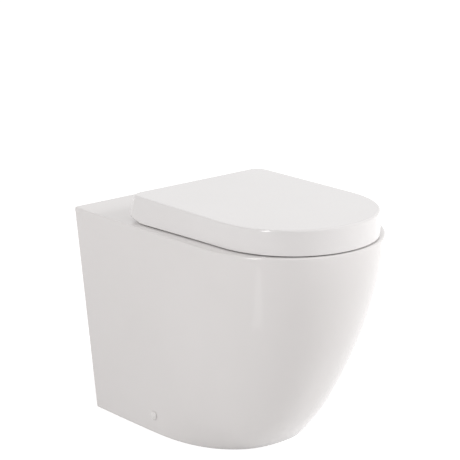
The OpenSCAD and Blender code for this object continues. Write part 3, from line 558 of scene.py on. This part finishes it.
def at_side_fixing(side):
    """On the pan's outer face at a side fixing hole, +Z straight out of the face."""
    place = at(pan_half_at(SIDE_FIX_HEIGHT, SIDE_FIX_FROM_WALL), SIDE_FIX_FROM_WALL, SIDE_FIX_HEIGHT)
    place = place @ Matrix.Rotation(math.pi / 2 + SIDE_LEAN, 4, "Y")
    return MIRROR @ place if side == LEFT else place


def bowl_ring(shape_z, grow, z):
    """A ring of the bowl's shape at one height, made larger and set at another height."""
    s = min(max((shape_z - SUMP_HEIGHT) / (RIM_HEIGHT - SUMP_HEIGHT), 0), 1)
    rear = SUMP_BACK - (SUMP_BACK - BOWL_BACK) * s**2 - grow
    front = SUMP_FRONT + (BOWL_FRONT - SUMP_FRONT) * s**BOWL_SWELL + grow
    half = SUMP_WIDTH / 2 + (BOWL_WIDTH - SUMP_WIDTH) / 2 * s**BOWL_SWELL + grow
    a = np.linspace(0, 2 * math.pi, 96, endpoint=False)
    x = half * signed_power(np.cos(a), 2 / BOWL_SQUARENESS)
    d = (rear + front) / 2 + (front - rear) / 2 * signed_power(np.sin(a), 2 / BOWL_SQUARENESS)
    return at_height(np.column_stack([x, d]), z)


def bezier(points, steps):
    a, b, c, d = (np.asarray(p, float) for p in points)
    t = np.linspace(0, 1, steps + 1)[:, None]
    return a * (1 - t) ** 3 + 3 * b * t * (1 - t) ** 2 + 3 * c * t**2 * (1 - t) + d * t**3


def trapway(name, radius, material):
    """A rod along the trap's way from the sump over the crest to the outlet."""
    start, crest, end = np.array(TRAP_START), np.array(TRAP_CREST), np.array(TRAP_END)
    climb = bezier([start, start + [-60, 74], crest + [58, 0], crest], 22)
    fall = bezier([crest, crest + [-36, 0], end + [36, 0], end], 18)
    path = np.concatenate([climb, fall[1:]])
    points = np.column_stack([np.zeros(len(path)), y_at(path[:, 0]), path[:, 1]])
    return tube_path(name, points, radius, material, sides=44)


def wall_cylinder(name, radius, near, far, height, material, bevel=0.0):
    """A cylinder along Y between two distances from the wall."""
    obj = cylinder(name, radius, -far, -near, "Y", material, bevel=bevel)
    return move(obj, Matrix.Translation((0, PAN_DEPTH / 2, height)))


def build_pan():
    edge = np.linspace(0, 90, 9)[1:]
    spigot_end = OUTLET_FROM_WALL + OUTLET_LENGTH
    body = loft(
        "pan_glazed",
        [pan_ring(z, inset) for z, inset in FOOT_EDGE]
        + [pan_ring(z, 0) for z in np.linspace(FOOT_EDGE_TOP, RIM_HEIGHT - RIM_EDGE, 64)]
        + [pan_ring(RIM_HEIGHT, inset, at_z=RIM_HEIGHT - drop) for inset, drop in fillet(RIM_EDGE, edge)],
        GLAZE,
    )
    hollow = [pan_ring(z, CERAMIC_WALL, back=-1) for z in (-1, *np.linspace(0.5, CAVITY_TOP, 40))]
    combine(body, "DIFFERENCE", loft("hollow", hollow, BISQUE))
    levels = (np.arange(25) / 24) ** 1.7 * (RIM_HEIGHT - BOWL_EDGE - SUMP_HEIGHT) + SUMP_HEIGHT
    bowl = [bowl_ring(z, CERAMIC_WALL, z - CERAMIC_WALL) for z in levels]
    web = bevelled_box(
        "web", (-WEB_HALF, y_at(BOWL_BACK), WEB_BOTTOM), (WEB_HALF, y_at(WEB_FROM_WALL), CAVITY_TOP + 1), 1.5, BISQUE
    )
    combine(
        body,
        "UNION",
        loft("bowl", [*bowl, bowl_ring(RIM_HEIGHT, CERAMIC_WALL, CAVITY_TOP + 1)], BISQUE),
        trapway("trapway", TRAP_BORE / 2 + TRAP_WALL, BISQUE),
        wall_cylinder("spigot", OUTLET_RADIUS, OUTLET_FROM_WALL, spigot_end, TRAP_END[1], GLAZE, 1.5),
        wall_cylinder("inlet", INLET_SOCKET + INLET_WALL, INLET_FROM_WALL, INLET_END, INLET_HEIGHT, BISQUE, 1.5),
        web,
    )
    mouth = loft(
        "mouth",
        [bowl_ring(z, 0, z) for z in levels]
        + [bowl_ring(RIM_HEIGHT, grow, RIM_HEIGHT - drop) for grow, drop in fillet(BOWL_EDGE, edge)]
        + [bowl_ring(RIM_HEIGHT, BOWL_EDGE, RIM_HEIGHT + 1)],
        GLAZE,
    )
    socket_end = INLET_FROM_WALL + INLET_DEPTH
    cuts = [
        mouth,
        wall_cylinder("outlet_bore", OUTLET_BORE, OUTLET_FROM_WALL - 1, spigot_end - 0.5, TRAP_END[1], GLAZE),
        wall_cylinder("inlet_bore", INLET_SOCKET, INLET_FROM_WALL - 1, socket_end, INLET_HEIGHT, GLAZE),
        wall_cylinder("inlet_passage", PASSAGE_RADIUS, INLET_FROM_WALL, PASSAGE_END, INLET_HEIGHT, GLAZE),
        trapway("passage", TRAP_BORE / 2, GLAZE),
    ]
    for side in SIDES:
        cuts.append(move(cylinder("deck_hole", DECK_HOLE, -DECK_THICKNESS - 1, 1, "Z", GLAZE), at_deck(side)))
        cuts.append(move(cylinder("side_hole", SIDE_HOLE, -24, 5, "Z", GLAZE), at_side_fixing(side)))
    combine(body, "DIFFERENCE", *cuts)
    return piece(body, "pan_body", "vitreous_china", "pan", angle=32)


# ---------------------------------------------------------------- water connection and floor fixing


def build_flush_seal():
    """The rubber seal in the flush inlet, with lips that grip the flush pipe."""
    near, far, body = INLET_FROM_WALL - 4, INLET_FROM_WALL + INLET_DEPTH - 2, INLET_SOCKET - 0.05
    bore = [(23.0, -near), (22.4, -near - 4)]
    for lip in range(3):
        d = near + 7 + 10 * lip
        bore += [(23.6, -d), (23.6, -d - 4), (FLUSH_PIPE, -d - 7)]
    bore += [(23.0, -far)]
    outside = [(body, -far), (body, -INLET_FROM_WALL), (INLET_SOCKET + 5, -INLET_FROM_WALL), (INLET_SOCKET + 5, -near)]
    radii = [0.8] * len(bore) + [0.8, 0.3, 1.2, 1.2]
    seal = turned("flush_seal_rubber", bore + outside, radii, BLACK_RUBBER, 96, 3, closed=True)
    move(seal, Matrix.Translation((0, PAN_DEPTH / 2, INLET_HEIGHT)) @ TO_WALL)
    piece(seal, "pan_body", "black_rubber", "flush_seal")


def build_bracket(side):
    """A moulded floor bracket: foot plate, leaning leg, two gussets, and its two screw holes."""
    name = side_name(side)
    out = np.array([math.cos(SIDE_LEAN), -math.sin(SIDE_LEAN)])
    down = np.array([-math.sin(SIDE_LEAN), -math.cos(SIDE_LEAN)])
    face = np.array([pan_half_at(SIDE_FIX_HEIGHT, SIDE_FIX_FROM_WALL), SIDE_FIX_HEIGHT])

    def on_leg(depth, z):
        start = face - depth * out
        return start + (start[1] - z) / -down[1] * down

    leg_top = [face - depth * out - LEG_ABOVE_SCREW * down for depth in (LEG_OUTSIDE, LEG_INSIDE)]
    outline = rounded(
        [(76, 0), on_leg(LEG_OUTSIDE, 0), *leg_top, on_leg(LEG_INSIDE, BRACKET_FOOT), (76, BRACKET_FOOT)],
        [1, 1.2, 3, 3, 5, 2],
        5,
    )
    body = extruded("bracket_" + name, outline, -BRACKET_HALF, BRACKET_HALF, 0.9, FIXING_PLASTIC)
    for y in (-RIB_FROM_MIDDLE, RIB_FROM_MIDDLE):
        rib = rounded([(88, 5), on_leg(26, 5), on_leg(26, 46), on_leg(28.5, 46), (90, 8.5)], [0, 0, 0, 2, 2], 4)
        combine(body, "UNION", extruded("rib", rib, y - RIB_HALF, y + RIB_HALF, 0.5, FIXING_PLASTIC))
    move(body, at(0, SIDE_FIX_FROM_WALL, 0) @ ACROSS)
    floor_hole = cylinder("floor_hole", FLOOR_HOLE, -1, 7, "Z", FIXING_PLASTIC, 40)
    sink = lathe("sink", [(0, 4.2), (4, 4.2), (6.8, 6.01), (6.8, 8), (0, 8)], FIXING_PLASTIC, 40)
    for tool in (floor_hole, sink):
        combine(body, "DIFFERENCE", move(tool, at(FLOOR_HOLE_X, SIDE_FIX_FROM_WALL, 0)))
    screw_hole = cylinder("screw_hole", SIDE_SCREW_HOLE, -80, 0, "Z", FIXING_PLASTIC, 24)
    combine(body, "DIFFERENCE", move(screw_hole, at_side_fixing(RIGHT)))
    if side == LEFT:
        move(body, MIRROR)
    piece(body, "pan_body", "fixing_plastic", "floor_bracket_" + name)


def threaded(name, radius, depth, pitch, low, high, material, sides=26, per_turn=7):
    """A rod along Z with a helical thread, tapered at both ends."""
    count = int((high - low) / pitch * per_turn)
    a = np.linspace(0, 2 * math.pi, sides, endpoint=False)
    rings = []
    for z in np.linspace(low, high, count + 1):
        wave = np.abs(((z / pitch - a / (2 * math.pi)) % 1) * 2 - 1)
        r = radius - depth * np.clip(wave * 1.3 - 0.15, 0, 1)
        r = np.minimum(r, radius - 1.3 * depth + 0.9 * (z - low))
        r = np.minimum(r, radius - depth + 0.9 * (high - z) + 1e-3)
        rings.append(np.column_stack([r * np.cos(a), r * np.sin(a), np.full(sides, z)]))
    return loft(name, rings, material)


def build_side_fixings():
    """The bushes, screws and covers of the two side fixings."""
    bushes, screws = [], []
    dome, dome_top = 73 / 6, 5.3
    for side in SIDES:
        place = at_side_fixing(side)
        bush = turned(
            "bush",
            [(SIDE_SCREW_HOLE, -12), (5.2, -12), (5.2, 0.3), (6.4, 0.3), (6.4, 1.5), (SIDE_SCREW_HOLE, 1.5)],
            [0.3, 0.8, 0, 0.3, 0.4, 0.2],
            FIXING_PLASTIC, 48, closed=True,
        )
        bushes.append(move(bush, place))
        shank = threaded("shank", 2.4, 0.45, 1.4, -34, 1.6, ZINC, 20, 6)
        profile = [(0, 1.5), (4.2, 1.5), (4.2, 2.1), (2.8, 3.3), (0, 3.3)]
        head = turned("head", profile, [0, 0.3, 0.7, 1.0, 0], ZINC, 48, 5)
        for turn in (0, math.pi / 2):
            slot = bevelled_box("slot", (-2.4, -0.5, 2.5), (2.4, 0.5, 5), 0.15, ZINC, 2)
            combine(head, "DIFFERENCE", move(slot, Matrix.Rotation(turn, 4, "Z")))
        screws += [move(shank, place), move(head, place)]
        top = [(r, dome_top + math.sqrt(dome**2 - r**2) - dome) for r in (7.5, 6.6, 5.4, 4, 2.7, 1.3, 0)]
        radii = [0.25, 0.35, 0.5] + [0.5] * 6 + [0]
        outside = rounded([(6.45, 0.3), (8, 0.3), (8, 2.15), *top], radii, 4, closed=False)
        inside = [(0, 3.8), (4.7, 3.8), (4.7, 1.7), (6.45, 1.7)]
        cap = lathe("screw_cover_" + side_name(side), outside + inside, CAP_PLASTIC, 72, closed=True)
        piece(move(cap, place), "pan_body", "cap_plastic", "screw_cap_" + side_name(side))
    piece(join("side_fixing_bushes", *bushes), "pan_body", "fixing_plastic", "side_bushes")
    piece(join("side_fixing_screws", *screws), "pan_body", "zinc_steel", "side_screws")


# ---------------------------------------------------------------- seat fixings


def build_seat_fixings():
    """Bolts, gaskets, base discs, cone washers and wing nuts at the two holes through the deck."""
    gaskets, cones, nuts = [], [], []
    for side in SIDES:
        name = side_name(side)
        place = at_deck(side)
        thread = threaded("thread", BOLT_RADIUS, 0.62, 1.25, -46, -0.6, ZINC)
        post = turned(
            "post",
            [(0, -1.2), (BOLT_RADIUS, -1.2), (BOLT_RADIUS, 4), (POST_RADIUS, 4), (POST_RADIUS, 7), (4, 8), (4, 10),
             (POST_RADIUS, 11), (POST_RADIUS, 13.5), (3.5, 15), (0, 15)],
            [0, 0.3, 0, 0.2, 0.3, 0.3, 0.3, 0.3, 0.5, 0.5, 0],
            ZINC, 48,
        )
        bolt = join("fixing_bolt_" + name + "_steel", move(thread, place), move(post, place))
        piece(bolt, "pan_body", "zinc_steel", "fixing_bolt_" + name)
        gasket = ring_solid("gasket", DISC_RADIUS - 0.5, WASHER_HOLE, 0.02, 0.98, 0.25, BLACK_RUBBER)
        gaskets.append(move(gasket, place))
        disc = turned(
            "base_disc_" + name + "_chrome",
            [(WASHER_HOLE, 1), (DISC_RADIUS, 1), (DISC_RADIUS, 3), (DISC_RADIUS - 1, 4), (WASHER_HOLE, 4)],
            [0.1, 0.3, 0.8, 0.8, 0.2],
            CHROME, 96, 5, closed=True,
        )
        piece(move(disc, place), "pan_body", "chrome", "base_disc_" + name)
        cone = turned(
            "cone",
            [(WASHER_HOLE, -21), (13, -21), (13, -14.02), (7.2, -14.02), (5.5, -9), (WASHER_HOLE, -9)],
            [0.3, 1.2, 0.8, 0.3, 0.5, 0.2],
            BLACK_RUBBER, curve=5, closed=True,
        )
        cones.append(move(cone, place))
        nut = turned(
            "hub",
            [(WASHER_HOLE, -30), (6.9, -30), (8, -24), (8, -21), (WASHER_HOLE, -21)],
            [0.4, 1, 1, 0.6, 0.4],
            FIXING_PLASTIC, closed=True,
        )
        wing = rounded(
            [(6.2, -29.6), (13, -29.9), (19, -28), (19, -23.3), (14, -23.2), (10.5, -25.5), (6.2, -24)],
            [0, 2.5, 2.5, 2.2, 2.5, 2.5, 0],
            5,
        )
        for turn in (0, math.pi):
            blade = move(extruded("blade", wing, -1.75, 1.75, 0.8, FIXING_PLASTIC), ACROSS)
            combine(nut, "UNION", move(blade, Matrix.Rotation(turn, 4, "Z")))
        nuts.append(move(nut, place))
    piece(join("deck_gaskets", *gaskets), "pan_body", "black_rubber", "base_gaskets")
    piece(join("deck_cone_washers", *cones), "pan_body", "black_rubber", "cone_washers")
    piece(join("deck_wing_nuts", *nuts), "pan_body", "fixing_plastic", "wing_nuts")


# ---------------------------------------------------------------- hinges


def bore(name, radius, deep, face, chamfer):
    """A cutter along Z for a hole from its bottom to a face, with a small chamfer at the face."""
    wide = radius + chamfer * 1.5
    profile = [(0, deep), (radius, deep), (radius, face - chamfer), (wide, face + chamfer * 0.5),
               (wide, face + 2), (0, face + 2)]
    return lathe(name, profile, CHROME, 48)


def build_hinge(side):
    """A hinge block with its damper, pin and bush, and its release button and spring."""
    name = side_name(side)
    line, half, foot = at_hinge(side), BLOCK_WIDTH / 2, BLOCK_BASE - HINGE_HEIGHT
    arc = arc_points(BLOCK_RADIUS, 0, math.pi, 41)
    corners = [(-BLOCK_RADIUS, -9), (-16, -9), (-16, foot), (BLOCK_RADIUS, foot)]
    outline = arc + rounded([arc[-1], *corners, arc[0]], [0, 3.5, 3, 1.3, 1.3, 0], 6, closed=False)[1:-1]
    block = move(extruded("hinge_block_" + name + "_chrome", outline, -half, half, 1.1, CHROME), line)
    along = line @ ALONG_X
    at_button = at(side * HINGE_X, HINGE_FROM_WALL, RIM_HEIGHT + BUTTON_HEIGHT) @ TO_FRONT
    combine(
        block,
        "DIFFERENCE",
        move(cylinder("post_bore", POST_RADIUS + 0.05, 0, 15.5, "Z", CHROME, 48), at_deck(side)),
        move(bore("damper_bore", DAMPER_RADIUS + 0.05, -5.05, half, 0.25), along),
        move(bore("pin_bore", PIN_RADIUS + 0.05, 7.5, half, 0.35), line @ AGAINST_X),
        move(bore("button_bore", BUTTON_RADIUS + 0.16, 6.4, 16, 0.35), at_button),
    )
    piece(block, "seat_carriage", "chrome", "hinge_block_" + name)

    cartridge = turned(
        "damper_" + name + "_cartridge",
        [(0, -5), (DAMPER_RADIUS, -5), (DAMPER_RADIUS, 17), (6.4, 17), (6.4, 16.7), (5.6, 16.7), (5.6, 17), (4.58, 17),
         (4.58, 0), (0, 0)],
        [0, 0.6, 0.4, 0.1, 0.1, 0.1, 0.1, 0.3, 0, 0],
        DAMPER_PLASTIC, 72, 3,
    )
    piece(move(cartridge, along), "seat_carriage", "damper_plastic", "damper_" + name)
    shaft = cylinder("damper_shaft_" + name + "_steel", SHAFT_RADIUS, 0.3, PIN_END, "X", ZINC, 72, 0.5)
    combine(shaft, "DIFFERENCE", bevelled_box("flat", (EAR_NEAR, -6, SHAFT_FLAT), (33, 6, 7), 0.05, ZINC, 1))
    piece(move(shaft, line), "seat" if side == LEFT else "lid_body", "zinc_steel", "damper_shaft_" + name)

    what = "lid" if side == LEFT else "seat"
    pin = cylinder(what + "_pin_steel", PIN_RADIUS, -PIN_END, -7.8, "Z", ZINC, bevel=0.7)
    piece(move(pin, along), "seat_carriage", "zinc_steel", what + "_hinge_pin")
    bush = ring_solid(what + "_bush_plastic", 6, 4.08, -PIN_END, -EAR_NEAR, 0.35, BUSH_PLASTIC)
    piece(move(bush, along), "lid_body" if side == LEFT else "seat", "bush_plastic", what + "_hinge_bush")

    button = turned(
        "release_button_" + name + "_chrome",
        [(0, 11), (BUTTON_RADIUS, 11), (BUTTON_RADIUS, 18), (3.1, 18), (2.6, 17.6), (0, 17.45)],
        [0, 0.3, 0.7, 0.3, 0.3, 0],
        CHROME, curve=5,
    )
    piece(move(button, at_button), "button_" + name, "chrome", "release_button_" + name)

    t = np.linspace(0, 1, 120)
    turn = 2 * math.pi * SPRING_TURNS * t
    # The coil's turns lie close together at both ends.
    height = SPRING_WIRE + (SPRING_LENGTH - 2 * SPRING_WIRE) * np.interp(t, [0, 0.15, 0.85, 1], [0.0, 0.08, 0.92, 1.0])
    coil = np.column_stack([SPRING_RADIUS * np.cos(turn), SPRING_RADIUS * np.sin(turn), SPRING_START + height])
    spring = tube_path("release_spring_" + name + "_coil", coil, SPRING_WIRE, ZINC, 10)
    piece(move(spring, at_button), "seat_carriage", "zinc_steel", "release_spring_" + name)
    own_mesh(spring)


def add_ear(target, outline, side, right_of_block):
    """Adds a hinge ear of an outline round the hinge line, on one side of a hinge block."""
    low = EAR_NEAR if right_of_block else -EAR_FAR
    ear = extruded("ear", outline, low, low + EAR_WIDTH, EAR_BEVEL, DUROPLAST)
    combine(target, "UNION", move(ear, at_hinge(side)))


def bush_hole(side):
    """A cutter for the hole in an ear that takes a hinge bush."""
    end = PIN_END + 0.05
    tool = lathe("bush_hole", [(0, 17), (6.35, 17), (6.05, EAR_NEAR + 0.35), (6.05, end), (0, end)], DUROPLAST)
    return move(tool, at_hinge(side) @ AGAINST_X)


def shaft_hole(side):
    """A cutter for the hole in an ear that takes the flat on a damper shaft."""
    tool = cylinder("shaft_hole", SHAFT_RADIUS + 0.05, 16.8, PIN_END + 0.05, "X", DUROPLAST)
    flat = bevelled_box("flat", (15, -6, SHAFT_FLAT + 0.05), (33, 6, 7), 0.05, DUROPLAST, 1)
    return move(combine(tool, "DIFFERENCE", flat), at_hinge(side))


def rubber_bumpers(name, places, points, radii):
    """One object of turned bumpers at places given as (x, distance from the wall)."""
    made = [move(turned("bumper", points, radii, SOFT_RUBBER, 48), at(x, d, RIM_HEIGHT)) for x, d in places]
    return join(name, *made)


# ---------------------------------------------------------------- lid


def lid_back_in(v):
    """How far the lid's back lies in front of its widest line, at a height above the rim."""
    if v < LID_WIDEST:
        reach = math.sqrt(LID_SWEEP**2 - (HINGE_HEIGHT - LID_WIDEST) ** 2)
        return reach - math.sqrt(LID_SWEEP**2 - (HINGE_HEIGHT - v) ** 2)
    return LID_BACK_LEAN * (v - LID_WIDEST) / (LID_TOP - LID_WIDEST)


def lid_outline(v, inset):
    """The lid's outline at a height above the rim, drawn in by an inset."""
    s = max(v - LID_GAP, 0) / (LID_TOP - LID_GAP)
    low = max((LID_WIDEST - v) / (LID_WIDEST - LID_GAP), 0)
    return d_outline(
        LID_WIDTH / 2 - LID_DRAFT * s - inset,
        LID_BACK_WIDTH / 2 - (LID_DRAFT + LID_BACK_DRAFT) * s - inset,
        LID_BACK + lid_back_in(v) + inset,
        LID_CURVE_START,
        LID_FRONT - LID_DRAFT * s - inset,
        LID_SQUARENESS,
        LID_CORNER + (LID_LOW_CORNER - LID_CORNER) * low**2 - inset,
        LID_SIDE_EASE,
        corners=16,
        sides=34,
        curve=150,
    )


def crowned(outline, v):
    """An outline as a ring at a height above the rim, higher along the lid's middle line."""
    ring = at_height(outline, RIM_HEIGHT + v)
    rise = max((v - LID_WIDEST) / (LID_TOP - LID_WIDEST), 0)
    ring[:, 2] += LID_CROWN * rise * (1 - (2 * ring[:, 0] / LID_WIDTH) ** 2)
    return ring


def lid_ring(v, inset, shape_v=None):
    return crowned(lid_outline(v if shape_v is None else shape_v, inset), v)


def lid_inner_ring(v, inset=LID_WALL):
    return at_height(lid_outline(v, inset), RIM_HEIGHT + v)


def lid_top_ring(share):
    """The ring of the top's edge, drawn in towards the middle of the top."""
    middle = np.array([0, (LID_BACK + LID_FRONT) / 2])
    return crowned(middle + share * (lid_outline(LID_TOP, LID_EDGE) - middle), LID_TOP)


def lid_rings():
    """From the ceiling inside, down, round the lower edge, up the outside and over to the middle of the top."""
    curve, lip_top = LID_CEILING_CURVE, LID_GAP + LID_LIP
    rings = [lid_inner_ring(LID_CEILING, LID_WALL + 4.0), lid_inner_ring(LID_CEILING, LID_WALL + curve)]
    for a in np.radians([60, 30, 0]):
        rings.append(lid_inner_ring(LID_CEILING - curve + curve * math.sin(a), LID_WALL + curve - curve * math.cos(a)))
    heights = [37, 34, 30, 25, 20, 16, 13, 12, 11, 10, 9, 8, 7, 6, 5, 4, lip_top]
    rings += [lid_inner_ring(v) for v in heights]
    rings += [lid_ring(LID_GAP + up, LID_WALL - inset, lip_top) for inset, up in fillet(LID_LIP, [20, 45, 70, 90])]
    rings += [lid_ring(LID_GAP + up, inset, lip_top) for inset, up in fillet(LID_LIP, [90, 70, 45, 20])]
    rings += [lid_ring(v, 0) for v in sorted([*heights, 40, LID_TOP - LID_EDGE])]
    edge = fillet(LID_EDGE, [10, 20, 32, 45, 58, 70, 80, 90])
    rings += [lid_ring(LID_TOP - drop, inset) for inset, drop in edge]
    shares = (0.994, 0.98, 0.95, 0.9, 0.82, 0.72, 0.6, 0.48, 0.36, 0.24, 0.12, 0.03)
    return rings + [lid_top_ring(share) for share in shares]


def build_lid():
    lid = loft("lid_moulding", lid_rings(), DUROPLAST)
    for side in SIDES:
        notch = bevelled_box(
            "notch",
            (HINGE_X - EAR_FAR - 1.5, y_at(HINGE_FROM_WALL + 14), RIM_HEIGHT - 2),
            (HINGE_X + EAR_NEAR, y_at(LID_BACK - 5), RIM_HEIGHT + LID_CEILING - 0.01),
            0.8,
            DUROPLAST,
            2,
        )
        if side == LEFT:
            move(notch, MIRROR)
        combine(lid, "DIFFERENCE", notch)
    top = LID_CEILING - HINGE_HEIGHT + 1
    outline = arc_points(EAR_RADIUS, -math.pi, 0, 33) + [(EAR_RADIUS, top), (-EAR_RADIUS, top)]
    for side in SIDES:
        add_ear(lid, outline, side, side == RIGHT)
    combine(lid, "DIFFERENCE", bush_hole(LEFT), shaft_hole(RIGHT))
    piece(lid, "lid_body", "seat_plastic", "lid", angle=38)

    profile = [(0, 28.6), (2.0, 28.3), (5.6, 28.3), (6, 31), (5.0, 34), (5.0, 40.2), (6, 40.4), (6, 41.5), (0, 41.5)]
    bumpers = rubber_bumpers("lid_rubber_bumpers", LID_BUMPERS, profile, [0, 0.3, 1.4, 1.5, 1.2, 0.4, 0.3, 0.2, 0])
    piece(bumpers, "lid_body", "bumper_rubber", "lid_bumpers")


# ---------------------------------------------------------------- seat ring


def seat_hole_point(p):
    """The point of the opening's edge that faces a point of the ring's outline."""
    dx, dy = p[0], p[1] - SEAT_HOLE_CENTRE
    far = math.hypot(dx, dy)
    c, s = abs(dx) / far / (SEAT_HOLE_WIDTH / 2), abs(dy) / far / SEAT_HOLE_REACH
    reach = (c**SEAT_HOLE_SQUARENESS + s**SEAT_HOLE_SQUARENESS) ** (-1 / SEAT_HOLE_SQUARENESS)
    return np.array([dx / far * reach, SEAT_HOLE_CENTRE + dy / far * reach])


# The ring's cross-section as (0 from its outside or 1 from its opening, distance from there, height, corner radius)
SEAT_SECTION = [
    (0, 0, 0, 1.2), (0, 0, 12, 9), (0, 1.2, 16, 9), (0, 4, 19, 9), (0, 9, 21, 9), (0, 18, 22, 14),
    (1, 18, 21, 14), (1, 9, 17.5, 9), (1, 4, 13, 9), (1, 1.2, 8, 9), (1, 0, 0, 1.2),
    (1, 5, 0, 0.8), (1, 9, 11, 3), (0, 9, 15, 3), (0, 5, 0, 0.8),
]


def seat_station(outer):
    """The ring's cross-section at a point of its outline."""
    inner = seat_hole_point(outer)
    width = np.linalg.norm(inner - outer)
    corners = [(width - along if from_opening else along, v) for from_opening, along, v, _ in SEAT_SECTION]
    section = np.array(rounded(corners, [radius for *_, radius in SEAT_SECTION], 4))
    spot = outer + (inner - outer) * (section[:, :1] / width)
    return np.column_stack([spot[:, 0], y_at(spot[:, 1]), RIM_HEIGHT + SEAT_GAP + section[:, 1]])


def build_seat():
    outline = d_outline(SEAT_HALF, SEAT_BACK_HALF, SEAT_BACK, LID_CURVE_START, SEAT_FRONT, LID_SQUARENESS,
                        SEAT_CORNER, corners=14, sides=30, curve=130)
    flat = SEAT_BACK_HALF - SEAT_CORNER
    back = [(x, SEAT_BACK) for x in np.linspace(-flat, flat, 44)[1:-1]]
    stations = [seat_station(np.array(p, float)) for p in [*outline, *back]]
    ring = loop_loft("seat_moulding", stations, DUROPLAST)
    arc = arc_points(EAR_RADIUS, -math.pi / 2, 2.92, 37)
    arm = [arc[-1], (-10.2, 1), (-34, 1), (-34, -EAR_RADIUS), arc[0]]
    outline = arc + rounded(arm, [0, 2, 0, 0, 0], 5, closed=False)[1:-1]
    for side in SIDES:
        add_ear(ring, outline, side, side == LEFT)
    for x, d in SEAT_BUMPERS:
        boss = cylinder("boss", 8.5, SEAT_GAP + 0.02, SEAT_GAP + 16, "Z", DUROPLAST, 48, 0.5)
        combine(ring, "UNION", move(boss, at(x, d, RIM_HEIGHT)))
    combine(ring, "DIFFERENCE", bush_hole(RIGHT), shaft_hole(LEFT))
    piece(ring, "seat", "seat_plastic", "seat_ring", angle=38)

    profile = [(0, 0.7), (2.2, 0.3), (6.4, 0.3), (7.5, 2.0), (7.5, 4.6), (6.9, 5.1), (6.9, 6), (0, 6)]
    bumpers = rubber_bumpers("seat_rubber_bumpers", SEAT_BUMPERS, profile, [0, 0.6, 1.5, 1.2, 0.4, 0.2, 0.1, 0])
    piece(bumpers, "seat", "bumper_rubber", "seat_bumpers")


# ---------------------------------------------------------------- the whole

build_pan()
build_flush_seal()
for each_side in SIDES:
    build_bracket(each_side)
    build_hinge(each_side)
build_side_fixings()
build_seat_fixings()
build_seat()
build_lid()

# ---------------------------------------------------------------- camera, floor and light

scene = bpy.context.scene
camera = bpy.data.cameras.new("camera")
camera.lens, camera.sensor_width = CAMERA_LENS, CAMERA_SENSOR
camera_object = bpy.data.objects.new("camera", camera)
camera_object.location = CAMERA_PLACE
camera_object.rotation_euler = (math.radians(90 - CAMERA_DOWN), 0, math.radians(CAMERA_TURN))
scene.collection.objects.link(camera_object)
scene.camera = camera_object


def seen_directly(tree):
    """1 for camera, glossy and transmission rays, 0 for the other rays, which light the object."""
    path = new_node(tree, "LightPath", {})
    total = path.outputs["Is Camera Ray"]
    for name in ("Is Glossy Ray", "Is Transmission Ray"):
        node = new_node(tree, "Math", {0: total, 1: path.outputs[name]})
        node.operation = "MAXIMUM"
        total = node.outputs[0]
    return total


def floor_paint(tree):
    """Pale and dull, and lit from within for the camera only, so that it looks white but keeps the shadow."""
    glow = new_node(tree, "Math", {0: seen_directly(tree), 1: FLOOR_GLOW})
    glow.operation = "MULTIPLY"
    return {
        "Base Color": FLOOR_COLOUR,
        "Roughness": 0.9,
        "Specular IOR Level": 0.0,
        "Emission Color": WHITE,
        "Emission Strength": glow.outputs[0],
    }


def build_floor():
    mesh = bpy.data.meshes.new("floor")
    change_mesh(mesh, lambda bm: bmesh.ops.create_grid(bm, x_segments=1, y_segments=1, size=FLOOR_HALF))
    floor = bpy.data.objects.new("floor", mesh)
    scene.collection.objects.link(floor)
    mesh.materials.append(make_material("floor", floor_paint))


def build_world():
    """White to the camera and in reflections, and a soft light of its own strength and colour on the object."""
    world = bpy.data.worlds.new("studio")
    world.use_nodes = True
    tree = world.node_tree
    tree.nodes.clear()
    lit = new_node(tree, "Background", {"Color": AMBIENT_COLOUR, "Strength": AMBIENT})
    shown = new_node(tree, "Background", {"Color": WHITE, "Strength": 1.0})
    mix = new_node(tree, "MixShader", {0: seen_directly(tree), 1: lit.outputs[0], 2: shown.outputs[0]})
    new_node(tree, "OutputWorld", {"Surface": mix.outputs[0]})
    scene.world = world


def area_light(name, location, target, size, power, lights=True, shines=True):
    """A soft box. One that lights only gives diffuse light, one that shines only gives highlights."""
    light = bpy.data.lights.new(name, "AREA")
    light.shape = "RECTANGLE"
    light.size, light.size_y = size
    light.energy = power
    lamp = bpy.data.objects.new(name, light)
    lamp.location = location
    lamp.rotation_euler = (Vector(target) - Vector(location)).to_track_quat("-Z", "Y").to_euler()
    lamp.visible_diffuse, lamp.visible_glossy, lamp.visible_camera = lights, shines, False
    scene.collection.objects.link(lamp)
    return lamp


build_floor()
build_world()
area_light("key", (3.0, -2.65, 2.15), OBJECT_MIDDLE, (1.0, 1.0), 82, shines=False)
area_light("fill", (-2.6, -0.4, 2.0), OBJECT_MIDDLE, (1.6, 1.6), 21, shines=False)
area_light("strip", (-2.0, -0.70, 1.25), (0, -0.1, 0.4), (0.32, 2.4), 18, lights=False)
# The low strip lies just over the floor and faces up, and only its reflection in the glaze is seen.
low_strip = area_light("low_strip", (-0.645, -0.353, 0.004), (-0.645, -0.353, 1), (0.09, 0.53), 0.08, lights=False)
low_strip.rotation_euler = (math.pi, 0, math.radians(-68))
scene.view_settings.view_transform = "Standard"
